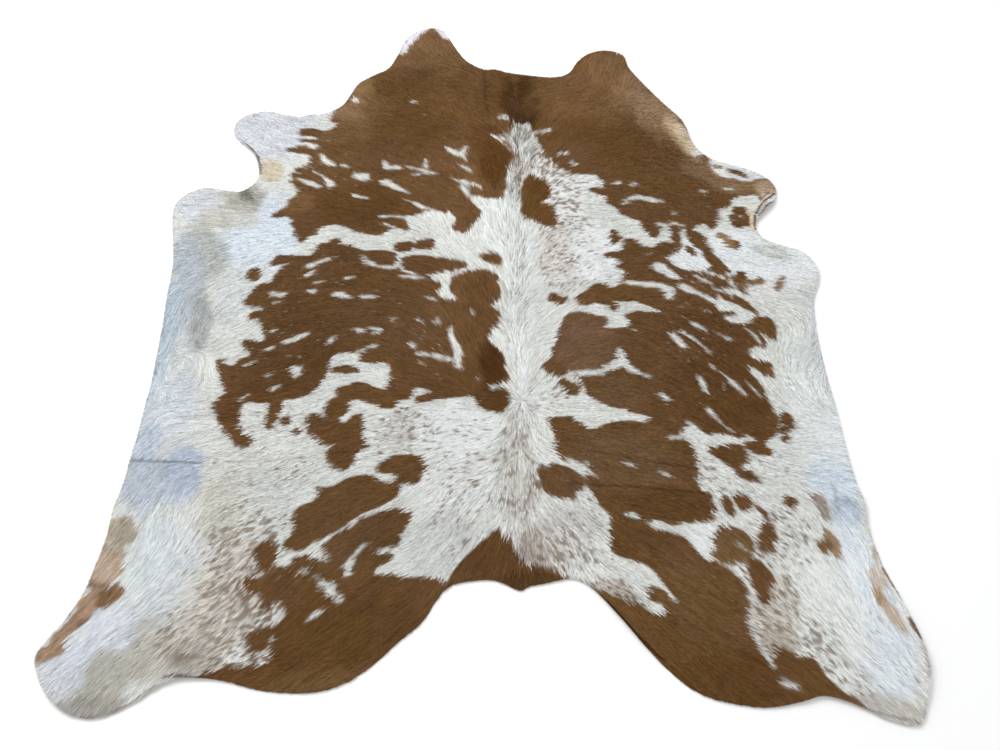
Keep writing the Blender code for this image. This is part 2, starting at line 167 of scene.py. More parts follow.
        (-34, -79.4), (-37, -78.8), (-41, -78.6), (-43, -80.2), (-45, -81), (-47, -80), (-50, -80.5),
        (-53, -82), (-53.8, -84.5), (-52, -86.3), (-49.5, -87.2), (-48, -88.7), (-45.3, -88.8),
        (-43.6, -90.3), (-43.5, -92), (-45, -93.8), (-47.5, -94.3), (-50.5, -94.8), (-51, -97),
        (-49.3, -99.3), (-46.8, -99), (-45.6, -98), (-45.2, -100), (-46, -101.8), (-48, -101.5),
        (-51, -102.5), (-53, -102), (-56, -103), (-59, -103.5), (-60, -108), (-40, -113), (-20, -109),
        (-4, -95), (-4, -86),
    ),
    "tail": (
        (-7.2, -84.6), (-6, -81.5), (-4, -79), (-0.8, -75.8), (1.5, -73.5), (3.9, -71.4), (5.5, -73),
        (7.2, -74.7), (8.5, -77), (10, -79.5), (12, -80.2), (15, -80.5), (16.5, -81.3), (19.6, -83),
        (20, -86.5), (9, -91), (-4, -88),
    ),
}

# White flecks and streaks inside the brown: x, y and half width along each stroke.
WHITE_MARKS = (
    # left neck and shoulder
    ((-43.9, 76.6, 1.2),), ((-24.6, 75.6, 0.5), (-23.8, 75.2, 0.7)), ((-20, 69, 0.4),),
    ((-51.5, 50.5, 0.8), (-50.5, 48.5, 1.2), (-48, 46.5, 0.8)), ((-44.8, 45.9, 0.6), (-43.5, 45.9, 0.7)),
    ((-53.5, 43.7, 0.4), (-50.4, 41.6, 0.4)), ((-39.8, 41.8, 1.3), (-37.3, 41.3, 1.6)),
    ((-49.5, 40.3, 0.5), (-47.5, 38.2, 1.2)), ((-57.2, 40.5, 0.8), (-54, 38.8, 1), (-51.5, 37.5, 0.9)),
    ((-40, 33.5, 0.5), (-36, 32.7, 0.4)), ((-31.7, 48, 0.5), (-31, 45.5, 0.9), (-26.5, 45.5, 0.5)),
    ((-25, 46.3, 0.2), (-21.5, 44.8, 0.4), (-18.5, 43.7, 0.8), (-16, 42.8, 0.3)),
    ((-18.8, 48.5, 0.2), (-18.3, 45, 0.4)), ((-22.5, 42.4, 0.3), (-18.5, 43.3, 0.6)),
    ((-31.5, 39, 0.8), (-29.5, 38.7, 1.3), (-27, 36.6, 0.7), (-24, 35, 0.4)),
    ((-24, 31.6, 0.2), (-21, 30.4, 0.4), (-18.5, 28.5, 0.6), (-15, 27.5, 0.4)),
    ((-31, 25.2, 0.4), (-24, 25, 0.5)),
    ((-12.2, 54, 0.5), (-9.5, 51.4, 1.1), (-7, 50.8, 1), (-6.4, 49, 0.3)),
    ((-6.2, 54, 0.6), (-7.5, 51.8, 0.8)), ((-8, 46.3, 0.2), (-5.6, 44.6, 0.6), (-4.4, 44, 0.4)),
    ((-10.2, 40.5, 0.3), (-7, 39.3, 0.7), (-4, 38, 0.8), (-1.6, 37.2, 0.4)),
    ((-7, 38, 0.4), (-6.3, 35.6, 0.8), (-5, 33.8, 0.9)), ((4, 67.6, 0.3), (6.5, 68, 0.8)),
    ((-56, 55, 1.2), (-54.5, 54.7, 1.3)), ((-52.3, 61.7, 0.9),), ((-30, 22.5, 0.4), (-27, 21, 0.4)),
    # the white rims of the neck flaps
    ((-29.5, 100.5, 1.1), (-28.7, 104, 1.5), (-27, 107.5, 1.5), (-24.3, 110.7, 1.3), (-22, 112.6, 1)),
    ((-17.5, 112.5, 1), (-16, 110.7, 1.3), (-13.7, 108, 0.8)), ((46.5, 101, 0.9), (48.3, 100, 0.6)),
    ((65.3, 62, 0.3), (67, 56, 0.9), (67.3, 52.5, 0.8)),
    # right neck and shoulder
    ((23.2, 51.3, 0.5), (25.5, 51.7, 0.4)), ((27, 48.2, 0.5), (28, 46.8, 0.8)),
    ((39.3, 38.4, 0.3), (41, 38.8, 0.7)), ((45, 37.8, 0.5), (46.5, 38.5, 0.7)), ((57, 26.3, 0.6),),
    ((42, 30.6, 0.5), (44, 32.2, 0.7), (46.7, 33.2, 0.9), (50, 31.9, 0.9), (53.5, 31.2, 0.4)),
    ((65.8, 35.3, 0.3), (67, 35.5, 0.4)), ((73.5, 36.3, 0.2), (76.3, 36.2, 0.3)),
    ((51.8, 22, 0.5), (54, 21.6, 0.4), (56, 22.6, 0.4), (59, 21.5, 0.4)),
    ((20.3, 61.6, 0.7), (17.5, 61.2, 0.5), (14.7, 60.5, 0.6)),
    # right shoulder
    ((54.5, 9, 1), (57.5, 9.5, 2.6), (60.5, 7.5, 2.8), (62.5, 6.3, 1.6)),
    ((58.8, 16.8, 1.4), (60.5, 14.3, 1.2), (63.5, 11.3, 1), (65, 8.5, 0.8)),
    ((49.8, 6.3, 1.5), (51.3, 5.3, 1.9), (53.2, 3.3, 1.2), (55.5, 2.3, 0.6)),
    ((41, 0.6, 0.6), (45, 0.2, 0.8), (50, -0.6, 1), (52.5, -2.2, 1.5), (51.5, -4.3, 1)),
    ((56, -0.8, 1), (58, -2, 1.1), (60.5, -3.3, 0.8), (64, -5.8, 0.9)),
    ((60.5, 3, 0.5), (62.5, 1.5, 0.7), (64.5, 0.3, 0.5)),
    ((63.5, 4.5, 0.5), (66.5, 3.5, 0.6), (68, 2.7, 0.4)), ((66, -2.2, 0.5), (70, -2.6, 0.9)),
    ((70, 0.8, 0.7), (70.8, -0.8, 0.6)), ((61.5, -9.5, 0.3), (62.5, -9.3, 0.3)),
    ((47, 10.9, 0.3), (48.5, 11.2, 0.3)),
    # left saddle
    ((-50, 6.5, 0.9), (-47, 8.1, 0.6), (-44, 9.3, 0.3)), ((-50.5, 3, 0.6), (-49, 4.2, 0.5)),
    ((-61, 5.3, 0.8), (-57, 7.2, 0.4)), ((-59.5, -3, 0.7), (-57, -3.8, 0.8), (-55.5, -3.2, 0.4)),
    ((-49.5, -2.4, 0.3), (-47.5, -2.4, 0.5)), ((-42, -3.5, 0.6), (-39.5, -3.7, 1.2), (-37.8, -4.5, 0.5)),
    ((-34, -4.4, 0.5), (-30.3, -4.5, 0.4)), ((-39, 2, 0.3), (-37.5, 2.4, 0.4)),
    ((-48, 0.5, 0.3), (-46, 1, 0.3)), ((-53.3, -19.5, 0.5), (-50.5, -18, 0.8), (-48, -16.8, 0.4)),
    ((-59, -22.2, 0.3), (-56.8, -21.3, 0.5)), ((-41.7, -19.5, 0.5), (-40.8, -18, 0.3)),
    ((-35, -15.2, 0.5), (-33.3, -15.8, 0.9)), ((-30.5, -14.8, 0.4), (-28, -15.5, 0.5), (-29.5, -17, 0.3)),
    ((-62.8, -26.8, 0.3), (-60.5, -25.5, 0.4)), ((-58.5, -6.8, 0.2), (-57, -6.2, 0.3)),
    ((-50.5, -27.5, 0.6), (-49, -28.5, 1.4), (-49.3, -30, 0.7)), ((-57, -30.2, 0.3), (-55.3, -29.3, 0.4)),
    ((-54.7, -34, 0.5), (-53, -33.2, 0.3)), ((-58, -16, 0.3), (-56, -15.5, 0.3)),
    ((-8.5, -14.5, 0.4), (-8.6, -17.5, 0.7), (-7.6, -20, 0.8), (-6.6, -22.3, 1.1), (-6.8, -25, 1.1),
      (-6.6, -27.5, 0.8)),
    ((-17.3, -23.2, 0.2), (-13, -23.6, 0.4), (-9.5, -25, 0.8)), ((-19.3, -20.2, 0.6), (-18.5, -20.5, 0.6)),
    ((-16.4, -26.3, 0.5),), ((-18.3, -12.4, 0.15), (-17, -12.5, 0.15)),
    ((-13.5, -12.8, 0.25), (-12, -12.8, 0.2)), ((-3, -9.8, 0.5),), ((-16, -4.8, 0.4), (-14, -5.2, 0.3)),
    ((-25, -11.5, 0.2), (-24.5, -13, 0.2)),
    ((-35.5, 10.3, 0.3), (-34, 8.2, 0.7), (-31, 6.4, 0.3), (-26, 5.8, 0.4), (-23.8, 8.3, 0.9),
      (-23.3, 11, 0.7)),
    ((-24, 3, 0.3), (-20.5, 2.4, 0.7), (-17.5, 2.2, 0.5)), ((-14, 2, 0.6), (-11.5, 1.6, 1.2), (-8, 3, 0.9)),
    ((2.5, -33.6, 0.3), (6.5, -33, 0.6)), ((-33.5, -22.5, 0.4), (-29, -20.5, 0.3)), ((-1.3, -31, 0.3),),
    ((-66, -8.8, 0.5), (-62.5, -8.6, 0.5)), ((-62, -37, 0.3), (-61, -36, 0.3)),
    # right saddle
    ((23.5, -29, 0.9), (27.5, -29.4, 0.7), (31, -28.9, 0.9), (35, -27, 1.1), (37, -25, 1.3),
      (36.3, -22, 0.5)),
    ((37.5, -26.4, 1), (40, -28.4, 0.6), (43.5, -30.3, 0.4)), ((57, -13, 0.4), (60.5, -15.5, 0.5)),
    ((51.5, -17.2, 0.8), (52.5, -18.5, 1.2), (54, -20.8, 0.6)),
    ((54.2, -16.3, 0.4), (57.5, -19, 0.5), (60.5, -22.5, 0.4)), ((63.5, -16.5, 0.3), (67, -18.7, 0.4)),
    ((72.2, -15.5, 0.3), (75, -19, 0.5)), ((57, -31, 0.6), (58, -34.5, 0.9)),
    ((57, -24.5, 0.3), (58, -24.7, 0.3)), ((63, -29, 0.3), (65.5, -32, 0.7), (68, -35, 0.6)),
    ((46.3, -35.5, 0.4), (47.8, -37, 0.5)), ((69.5, -32, 0.3), (71.5, -35.5, 0.5)),
    ((58.3, -40.3, 0.7), (59.5, -42, 0.5), (60.8, -44, 0.3), (62.8, -46, 0.4)),
    ((52.5, -43.5, 0.3), (54, -45.5, 0.8)), ((41, -15.5, 0.3),),
    ((47.5, -48, 0.3), (50, -48, 0.8), (51.5, -47, 0.9)), ((66.3, -47.3, 0.4), (67.8, -48.6, 0.4)),
    ((60.8, -27, 0.2), (61.5, -28, 0.2)), ((56, -6.5, 0.2), (57, -6.8, 0.3)),
    ((54.8, -11, 0.2), (55.5, -11.6, 0.2)),
    # right loin and thigh
    ((20.8, -54, 0.5), (24.5, -56, 0.9), (27.5, -58, 0.3)), ((24.5, -57.5, 0.8), (25, -59.3, 0.5)),
    ((34.8, -68.2, 0.3), (36.3, -68.3, 0.6), (37.6, -69, 0.3)), ((44, -57, 0.15), (46, -58.6, 0.25)),
    ((40, -70.3, 0.3), (42, -71.2, 0.5), (44.5, -71.8, 0.6), (47.5, -72, 0.8)),
    ((55.5, -79.8, 0.3), (58, -81, 0.6), (60.5, -82.3, 0.5)), ((62.8, -101.5, 0.4), (63.6, -103, 0.3)),
    ((64.8, -105.6, 0.7), (67, -106.1, 0.7)), ((26.5, -55, 0.3),), ((59.8, -75, 0.2), (61, -76.2, 0.2)),
    ((35, -55, 0.2), (38, -55.6, 0.2)),
    # left loin and thigh
    ((-37, -43.6, 0.3), (-35, -42.4, 0.5), (-33, -41, 0.8)), ((-24, -58.6, 0.7), (-21.5, -58.3, 0.4)),
    ((-20, -65.2, 0.6), (-24.5, -67, 0.25), (-30, -69.8, 0.2), (-34, -72.8, 0.25), (-38.6, -75.5, 0.6)),
    ((-23.5, -77, 0.5), (-19, -76.5, 0.7)),
    ((-27.2, -75.8, 0.2), (-29, -78, 0.5), (-30.3, -80.3, 0.9), (-29.8, -82, 0.5)),
    ((-36, -84.5, 0.6), (-33.5, -86, 1.3), (-31.5, -88, 1)), ((-37.8, -82.8, 0.4), (-36, -84.5, 0.7)),
    ((-53, -82, 0.5), (-50.5, -82.5, 0.6), (-48.5, -81.8, 0.4)),
    ((-46, -79.3, 0.9), (-43, -78, 0.8), (-39.5, -77.3, 0.7), (-37, -76.8, 0.6)), ((-44.6, -79.8, 1),),
    ((-37.5, -92, 0.25), (-36, -91, 0.5), (-35, -90.3, 0.3)),
    ((-45.5, -91.5, 1.3), (-49, -91.5, 1.2), (-48.5, -93, 1)), ((-51, -88, 0.4), (-48.5, -88.3, 0.3)),
    ((-28.3, -69, 0.3), (-31, -71.5, 0.4)), ((-41, -81.5, 0.3), (-40, -82, 0.4)), ((-45.5, -96.5, 0.4),),
)

# Brown spots and fingers on the white, drawn last, in the same way.
BROWN_MARKS = (
    # left neck and shoulder
    ((-62.2, 53.2, 0.9), (-60, 52.8, 0.9)), ((-59, 60.9, 1.6), (-56, 60.9, 1.7), (-53.5, 60.3, 1.4)),
    ((-59.3, 57.2, 0.5), (-54.5, 57, 0.7)), ((-59.3, 54.3, 0.7), (-58.7, 52.3, 1)),
    ((-58.7, 44.4, 0.8), (-55.5, 43.5, 1.2)), ((-59.3, 42, 1.1), (-56, 41.3, 0.7)),
    # between shoulder and saddle, and beside the spine
    ((-24.5, 13.4, 1.7), (-22.3, 13.7, 1.8)), ((-18.6, 14.2, 1.7), (-16.5, 14.5, 2)),
    ((-0.8, 10, 0.6), (1.5, 9.3, 1.6), (3.4, 8.6, 2)),
    ((-7.5, 1.2, 1.5), (-4, 2.6, 2.2), (-0.8, 2.8, 2.4), (2, 1.6, 2.3)),
    ((-21, 7.6, 2.7), (-17, 6.8, 3.4), (-12, 6.6, 2.7), (-8, 6.9, 1.8), (-6, 7, 1.2)),
    ((-66.8, 3, 1), (-65.6, 4, 1.8), (-65.3, 2.7, 1.5)),
    ((14.2, 41.5, 1), (14.6, 38.8, 2.8), (15.8, 36.6, 4), (16, 35, 3.8)), ((13, 35.5, 2), (14, 31.8, 3)),
    ((12.6, 29, 1.7), (14.5, 28, 3.6), (17, 26.6, 4.2), (18.8, 24.3, 2.8), (19, 22.6, 1.3)),
    ((12.2, 27.5, 1.2), (12.3, 25, 0.9)), ((19.5, -4.6, 1.5), (21.2, -5.8, 1.5)),
    ((21.3, -32.2, 1.1), (23.5, -33.8, 1.9)),
    # right shoulder
    ((33.2, 36, 1), (36, 35, 1.5)), ((38, 19, 1.1), (38.8, 17, 1.5), (37.6, 15.4, 0.8)),
    ((56.6, 20, 1.4), (56.3, 17, 1.3), (56, 14, 1.3)), ((48.5, 21, 1.6), (50, 19.3, 1.3)),
    ((60.8, 19, 1.5), (62.3, 16.5, 2.5), (64.5, 12.5, 1.4), (65.5, 9.5, 1.6), (68, 6.5, 1.3),
      (70, 4.8, 0.6)),
    ((59.5, 13, 0.9), (60.5, 11.5, 0.9)), ((67.3, 21.5, 1.1),), ((76, 27.6, 1.5), (77.2, 27.3, 1.7)),
    ((78.2, 25.2, 1),), ((74.8, 24.8, 1.4), (75.9, 22.6, 2.1), (78.1, 22.7, 1.6)),
    ((69.6, 17.6, 1), (71, 17, 0.9)), ((71.5, 14.9, 1.4), (73, 14.2, 1.7)),
    ((75.3, 0.8, 0.6), (77, 0.6, 0.8)), ((78.5, 1.3, 1.1),),
    ((84.7, 2, 0.8), (83.7, 0, 1.1), (82.8, -1.8, 0.7)),
    ((67.5, -4.5, 0.9), (70, -5, 1.3), (73, -7.2, 1.1), (75.3, -9.5, 0.7)),
    ((66, -10, 0.6), (68.7, -10, 0.9)), ((72, 46, 0.8), (74, 45.5, 0.6)),
    ((76, 44.4, 0.7), (78.8, 42.8, 0.9), (80.8, 41.5, 0.8)), ((42, 15.5, 1), (44, 15, 0.9)),
    ((83.5, 34, 0.9), (83.8, 31.5, 0.5)),
    # left saddle and belly
    ((-39.5, -28.2, 0.7), (-36, -28, 1.3), (-33.3, -28.2, 0.7)), ((-64.5, -45.3, 1.1), (-62, -46.8, 1.6)),
    ((-61, -48.8, 1.5), (-59.5, -49, 1.9)), ((-50, -43.3, 1.3),), ((-47, -46.2, 0.7), (-46.2, -46.4, 0.6)),
    ((-43.2, -42.9, 1.7), (-41.5, -45.3, 2.5), (-38.5, -47.5, 2.7)),
    ((-37.8, -38.8, 2), (-38.6, -41, 1.9), (-38, -44, 2.2), (-36.3, -46.6, 2.8)),
    ((-31.5, -24.6, 1.2), (-28.5, -25, 1.1)), ((-22, -35.5, 2.2), (-19.2, -35, 1.6)),
    ((-31.6, -42.8, 1.4), (-32.4, -45.3, 2.5), (-33.2, -49, 3.7)),
    ((-36, -35, 2), (-32, -34.6, 2.5), (-28, -35.8, 2.2), (-25, -36.8, 2)),
    ((-31, -49.5, 1.8), (-29.3, -50, 0.9)), ((-34.6, -36.8, 0.8),),
    ((-35.6, -53, 3), (-34.4, -54, 2.8), (-33.6, -53.3, 2.5)),
    ((-24.5, -56.3, 1.2), (-21, -55.3, 2.6), (-17, -56, 3.2), (-17, -58, 2.6), (-20.3, -59.4, 0.9)),
    ((-49.6, -77.6, 2.9), (-49.3, -80, 1.6)), ((-42.5, -79.6, 1.2), (-40, -79.3, 1.1)),
    ((-48.6, -89.6, 0.5), (-47.6, -89.6, 0.9)), ((-48.5, -96, 1.5), (-48, -97.5, 1.6)),
    # right flank
    ((57.3, -51.5, 1), (60, -52.3, 2.1), (63.3, -52.6, 2.9), (62.5, -54.6, 1.9)),
    ((63.3, -57.6, 0.9), (65.5, -58.2, 1.2), (67.5, -59.4, 0.6)),
    ((66.5, -50, 1), (69.3, -50.8, 2), (71.3, -51.8, 0.9)),
    ((77.4, -42, 1.3), (77.8, -44.3, 1.5), (76.3, -46.3, 0.9)), ((76.3, -48.3, 1),),
    ((58.6, -63.9, 0.9), (59.2, -66, 1.2), (59.8, -67.6, 1)),
    ((61.7, -64.3, 0.9), (63.2, -65, 1.6), (62.8, -66, 1.2)),
    ((65.8, -65.8, 0.4), (67, -67.3, 0.5), (68, -69, 0.6)), ((74.2, -65, 1.4),),
    ((67.6, -71.3, 1.5), (67.4, -73.5, 1.9), (66.4, -75.6, 1.7), (67.4, -76.3, 1.1)),
    ((63.3, -80.8, 2), (64.3, -83, 2.4), (64, -85.5, 1.6)), ((64.2, -87.4, 1.4),),
    ((79.5, -75.3, 1.2), (80, -76.7, 0.8)),
    ((15.3, -57.3, 1.5), (18, -57.5, 2.6), (20.3, -60, 4), (18.5, -59.5, 4)), ((22.8, -60, 2.4),),
    ((39.3, -86.8, 1.6), (41, -87.5, 1.5)), ((27.5, -87.3, 0.8), (31, -89.8, 1)),
    # tan places at the hooves
    ((81.5, -72.5, 0.8), (82, -75, 1.7), (82.5, -77.5, 0.8)),
    ((81, -64, 1.2), (81.7, -66, 1.4), (82, -68.8, 0.8)), ((89.6, -86.5, 1), (89.9, -88.3, 1.2)),
    ((-86.5, -70.5, 1.5), (-84, -71, 2.2), (-82.8, -73, 2.2), (-86, -74, 2.5)),
    ((-85.5, -76, 2), (-84, -77.8, 1.6), (-87, -78, 2)),
    ((-87, -81, 2), (-84, -81, 2.2), (-86.5, -83.7, 2.2)),
    ((-81.7, -86.3, 1.6), (-84, -87.5, 2.3), (-87.5, -88.8, 1.8)),
    ((-87.5, -91, 1.7), (-90, -94, 1.4), (-92, -96.5, 1.1)), ((-91.3, -98.5, 1.5), (-94, -100, 1.5)),
    # brown that fills three corners of the white
    ((-35.6, -37.8, 1.3), (-35.4, -39.5, 1.4), (-36.2, -41, 1.1)),
    ((54.4, -77.4, 0.9), (56.5, -78.3, 1.4), (58, -79, 1.2)),
    ((27.6, -86.7, 0.4), (29.8, -88, 0.7), (31.8, -88.9, 0.8)),
)

# Tones of the brown: x, y, half lengths along x and y, turn in degrees, red, green, blue, strength.
BROWN_BASE = (108, 79, 51)
BROWN_TONES = (
    (-22, 98, 16, 14, 0, 120, 91, 63, 0.9), (-30, 86, 12, 6, 20, 92, 65, 38, 0.7),
    # The second zone on this line, light tan on the left shoulder, is a painted sheen.
    (-43, 82, 5, 6, 0, 136, 108, 78, 0.8), (-42, 71, 9, 5, 10, 146, 118, 88, 0.8),
    (-34, 72, 6, 6, 0, 128, 100, 70, 0.7), (-20, 72, 20, 14, 0, 104, 75, 46, 0.7),
    (-45, 62, 9, 6, 0, 126, 98, 68, 0.6), (-12, 40, 14, 8, 0, 118, 88, 58, 0.6),
    (-57, 30, 6, 4, 20, 132, 99, 66, 0.8), (-38, 30, 14, 8, 0, 94, 66, 38, 0.7),
    (3, 47, 5, 9, 0, 84, 54, 22, 0.9), (1, 58, 6, 8, 0, 92, 62, 32, 0.6),
    (12, 76, 7.5, 14, 0, 64, 41, 12, 0.8), (11.5, 69, 5.5, 6, 0, 58, 36, 8, 0.7),
    (33, 78, 18, 14, 0, 124, 93, 62, 0.8), (52, 79, 9, 15, 30, 142, 112, 84, 0.8),
    (41, 93, 9, 9, 0, 126, 96, 66, 0.8), (30, 62, 12, 6, 0, 104, 74, 42, 0.6),
    (56.5, 67, 6.5, 15, 26, 156, 129, 99, 0.8), (62.3, 60, 3.2, 10, 22, 198, 174, 146, 0.9),
    (64.5, 57, 2.5, 9, 18, 222, 206, 184, 0.9), (50, 55, 14, 8, 0, 100, 71, 40, 0.5),
    (69, 46, 8, 6, 0, 138, 112, 84, 0.75), (73.5, 44.5, 3, 3, 0, 176, 158, 136, 0.8),
    (78, 38, 8, 4, 0, 150, 122, 92, 0.8), (87, 36, 4, 4, 0, 190, 168, 142, 0.85),
    (-45, 5, 18, 10, 0, 104, 77, 50, 0.7), (-50, -20, 14, 16, 0, 94, 68, 44, 0.7),
    (-25, -12, 20, 10, 0, 104, 78, 54, 0.7), (-62, -40, 7, 7, 0, 98, 68, 40, 0.6),
    (0, -10, 5, 14, 0, 100, 72, 46, 0.6), (3, -27, 3.6, 9, 0, 78, 50, 26, 0.9),
    (2, -37, 5, 5, 0, 88, 60, 34, 0.6), (16, 37, 5, 5, 0, 98, 66, 32, 0.7),
    (15, 27, 5, 6, 20, 104, 72, 38, 0.7), (28, -20, 9, 11, 0, 118, 92, 70, 0.9),
    (45, -25, 10, 14, 0, 104, 76, 50, 0.7), (62, -35, 12, 16, 0, 94, 66, 38, 0.8),
    (62, -15, 12, 8, 0, 96, 68, 42, 0.7), (45, 8, 10, 6, 0, 106, 78, 50, 0.6),
    (33, -35, 10, 6, 0, 112, 86, 62, 0.7), (33, -54, 14, 8, 0, 112, 88, 62, 0.8),
    (46, -66, 10, 4, 0, 92, 66, 40, 0.5), (19, -59, 6, 6, 0, 106, 80, 55, 0.7),
    (36, -76, 8, 6, 0, 96, 70, 44, 0.6), (50, -88, 12, 10, -30, 112, 86, 56, 0.8),
    (56, -105, 18, 6, 0, 96, 68, 38, 0.7), (69, -104, 6, 5, 0, 108, 80, 52, 0.7),
    (59, -76, 5, 5, 0, 124, 98, 66, 0.8), (-32, -66, 12, 8, 10, 108, 81, 54, 0.8),
    (-25, -74, 8, 6, 0, 104, 78, 52, 0.7), (-35, -78, 6, 4, 0, 110, 86, 62, 0.6),
    (-30, -95, 16, 8, 10, 100, 72, 44, 0.8), (-33, -106, 20, 3.5, 5, 118, 90, 62, 0.8),
    (-48, -103, 8, 4, 0, 100, 70, 42, 0.6), (5, -79, 9, 6, 0, 96, 68, 42, 0.7),
    (12, -84, 6, 2.5, 0, 78, 54, 32, 0.7), (70, 15, 4, 4, 0, 160, 130, 98, 0.9),
    (78, 0, 5, 3, 0, 146, 118, 88, 0.7), (84, 0, 3, 3, 0, 158, 132, 104, 0.8),
    (-84.5, -73, 7, 5, 0, 184, 176, 158, 0.95), (-86, -80.5, 6, 4, 0, 202, 182, 162, 0.95),
    (-83, -87, 4, 3, 0, 142, 113, 84, 0.9), (-88, -89, 3, 4, 0, 180, 152, 126, 0.95),
    (-92, -97, 5, 6, 0, 172, 146, 120, 0.95), (82, -67, 3, 5, 0, 172, 164, 152, 0.9),
    (82, -75, 3, 4, 0, 168, 140, 112, 0.9), (90, -88, 3, 4, 0, 184, 160, 134, 0.95),
    (80, -76, 2, 3, 0, 112, 84, 58, 0.8),
)

# Tones of the white, in the same way. The grey zones marked below are painted shade.
WHITE_BASE = (222, 224, 220)
WHITE_TONES = (
    # Both zones on this line are painted shade: the grey under the spine's long hair and between its locks.
    (8.8, 10, 3.5, 46, 0, 182, 178, 170, 0.8), (10, 52, 5, 12, 0, 168, 158, 146, 0.8),
    (-70, 60, 16, 12, 0, 208, 212, 219, 0.9), (-66, 18, 12, 14, 0, 224, 236, 250, 0.85),
    (-67, 44, 3.4, 5, 15, 214, 200, 172, 0.75), (-78, 31, 10, 4, -15, 186, 184, 172, 0.8),
    # Both zones on this line are painted shade in the hollow by the left foreleg.
    (-72, 32, 5, 5, 30, 176, 175, 166, 0.8), (-73, 34, 2.2, 3, 25, 138, 136, 126, 0.7),
    (-86, 29, 7, 7, 0, 214, 219, 226, 0.8), (-76, 24, 9, 4, 0, 206, 204, 192, 0.7),
    # The first zone on this line is a painted shadow band on the left belly.
    (-80, 12, 5, 12, 30, 178, 182, 178, 0.75), (-87, 11, 3.5, 6, 10, 196, 202, 206, 0.7),
    (-84, -4, 6, 20, 4, 186, 195, 203, 0.85), (-87, -22, 4, 22, 2, 192, 205, 217, 0.8),
    (-70.5, -3, 5, 12, 0, 214, 220, 220, 0.8), (-77.5, -13, 3, 11, 8, 172, 176, 176, 0.8),
    (-79, -26, 3, 9, 10, 206, 212, 212, 0.6), (-80, -40, 7, 10, 0, 212, 219, 226, 0.8),
    (-83, -49, 4, 6, 0, 196, 206, 222, 0.8), (-81, -59, 7, 8, 0, 192, 202, 214, 0.85),
    (-73, -57, 5, 8, 8, 184, 196, 212, 0.9), (-73, -82, 8, 16, 5, 218, 226, 230, 0.8),
    (-62.5, -66, 6, 9, 0, 204, 203, 194, 0.8), (-82, -96, 8, 8, 20, 220, 226, 236, 0.85),
    (-80, -104.5, 7, 6, 20, 180, 178, 167, 0.85), (-81, -110.5, 8, 2.4, 5, 166, 163, 156, 0.8),
    (-72.5, -95, 4, 4, 0, 192, 191, 184, 0.7), (-89, -102, 5, 6, 0, 218, 223, 234, 0.85),
    (-70, -100, 7, 6, 20, 190, 187, 177, 0.85), (-62, -100, 6, 4, 10, 156, 149, 139, 0.8),
    (-64, -90, 5, 8, 0, 212, 210, 204, 0.7), (-50, -62, 10, 6, 0, 206, 208, 206, 0.5),
    (9, -58, 5, 16, 0, 200, 198, 193, 0.8), (12.5, -75.5, 5, 6, 0, 164, 154, 146, 0.85),
    (20, -72, 8, 8, 0, 200, 198, 196, 0.7), (29, -89, 7, 5, -25, 186, 178, 169, 0.85),
    (-57, -88, 8, 13, 0, 212, 206, 198, 0.8), (66, -90, 6, 9, 0, 206, 200, 190, 0.8),
    (66, -97, 4, 4, 0, 186, 177, 164, 0.8), (79, -105, 7, 4, -20, 200, 196, 188, 0.8),
    (8.2, 0, 1.3, 20, 6, 238, 242, 240, 0.8), (10.5, -26, 1.3, 12, 0, 238, 242, 242, 0.8),
    # The second zone on this line and the first on the next are painted shadows beside the whorl low on the
    # spine.
    (7.5, 24, 1.5, 12, 0, 236, 240, 238, 0.8), (12.8, -32.5, 1.4, 2.5, 0, 178, 176, 172, 0.7),
    (12.5, -39, 1.5, 2, 0, 184, 182, 180, 0.6), (-8, -46, 12, 7, 0, 244, 250, 248, 0.8),
    (-21, -46, 5, 5, 0, 206, 203, 198, 0.7), (-8, -60, 12, 8, 0, 236, 240, 238, 0.7),
    (-8, -76, 10, 8, 30, 208, 211, 209, 0.6), (20.5, 11, 5, 11, 0, 222, 217, 212, 0.7),
    (24, 31, 6, 9, 0, 252, 252, 252, 0.85), (32, 12, 6, 11, 0, 244, 249, 250, 0.8),
    (4.5, 12, 2.5, 7, 0, 208, 208, 200, 0.7), (31, 38, 5, 4, 0, 240, 246, 248, 0.7),
    (74, 12, 8, 9, 0, 242, 250, 255, 0.9), (87, 7, 9, 8, 0, 244, 251, 255, 0.9),
    (80, -3, 5, 4, 0, 236, 237, 234, 0.7), (60, 8, 8, 9, 0, 240, 246, 248, 0.8),
    (84, 11, 6, 3, -15, 206, 210, 204, 0.8), (79.6, 24, 1.6, 5, 0, 236, 222, 196, 0.9),
    (82, -19, 6, 14, 0, 218, 221, 214, 0.8), (85, -34, 6, 20, 0, 230, 236, 234, 0.8),
    (91, -25, 2.5, 26, 0, 216, 221, 226, 0.6), (87, -51, 6, 8, 0, 238, 248, 252, 0.8),
    (80, -50, 8, 10, 0, 224, 228, 226, 0.6), (83, -104, 8, 5, -20, 206, 206, 201, 0.7),
    (86, -60, 6, 6, 0, 214, 226, 238, 0.9), (87, -67.5, 4, 4, 0, 190, 201, 215, 0.85),
    (87, -92, 7, 20, 0, 232, 242, 252, 0.9), (78, -92, 8, 16, 0, 232, 236, 232, 0.8),
    (88, -111, 8, 3, -15, 196, 192, 184, 0.8), (90.5, -83.5, 2.2, 3, 0, 202, 188, 172, 0.85),
    (91.8, -91.5, 1.5, 4, 22, 196, 178, 158, 0.9), (91.8, -78, 1.3, 2.5, 15, 206, 196, 182, 0.8),
    (97.3, -102, 1.2, 7, 4, 222, 218, 212, 0.8), (-23, 108, 12, 10, 0, 222, 222, 232, 0.9),
    (82, 44, 8, 4, -20, 222, 228, 234, 0.8), (72.5, 44.5, 4, 4, 0, 246, 246, 244, 0.85),
    (52.5, -73.5, 4, 4, 0, 240, 246, 246, 0.7),
)

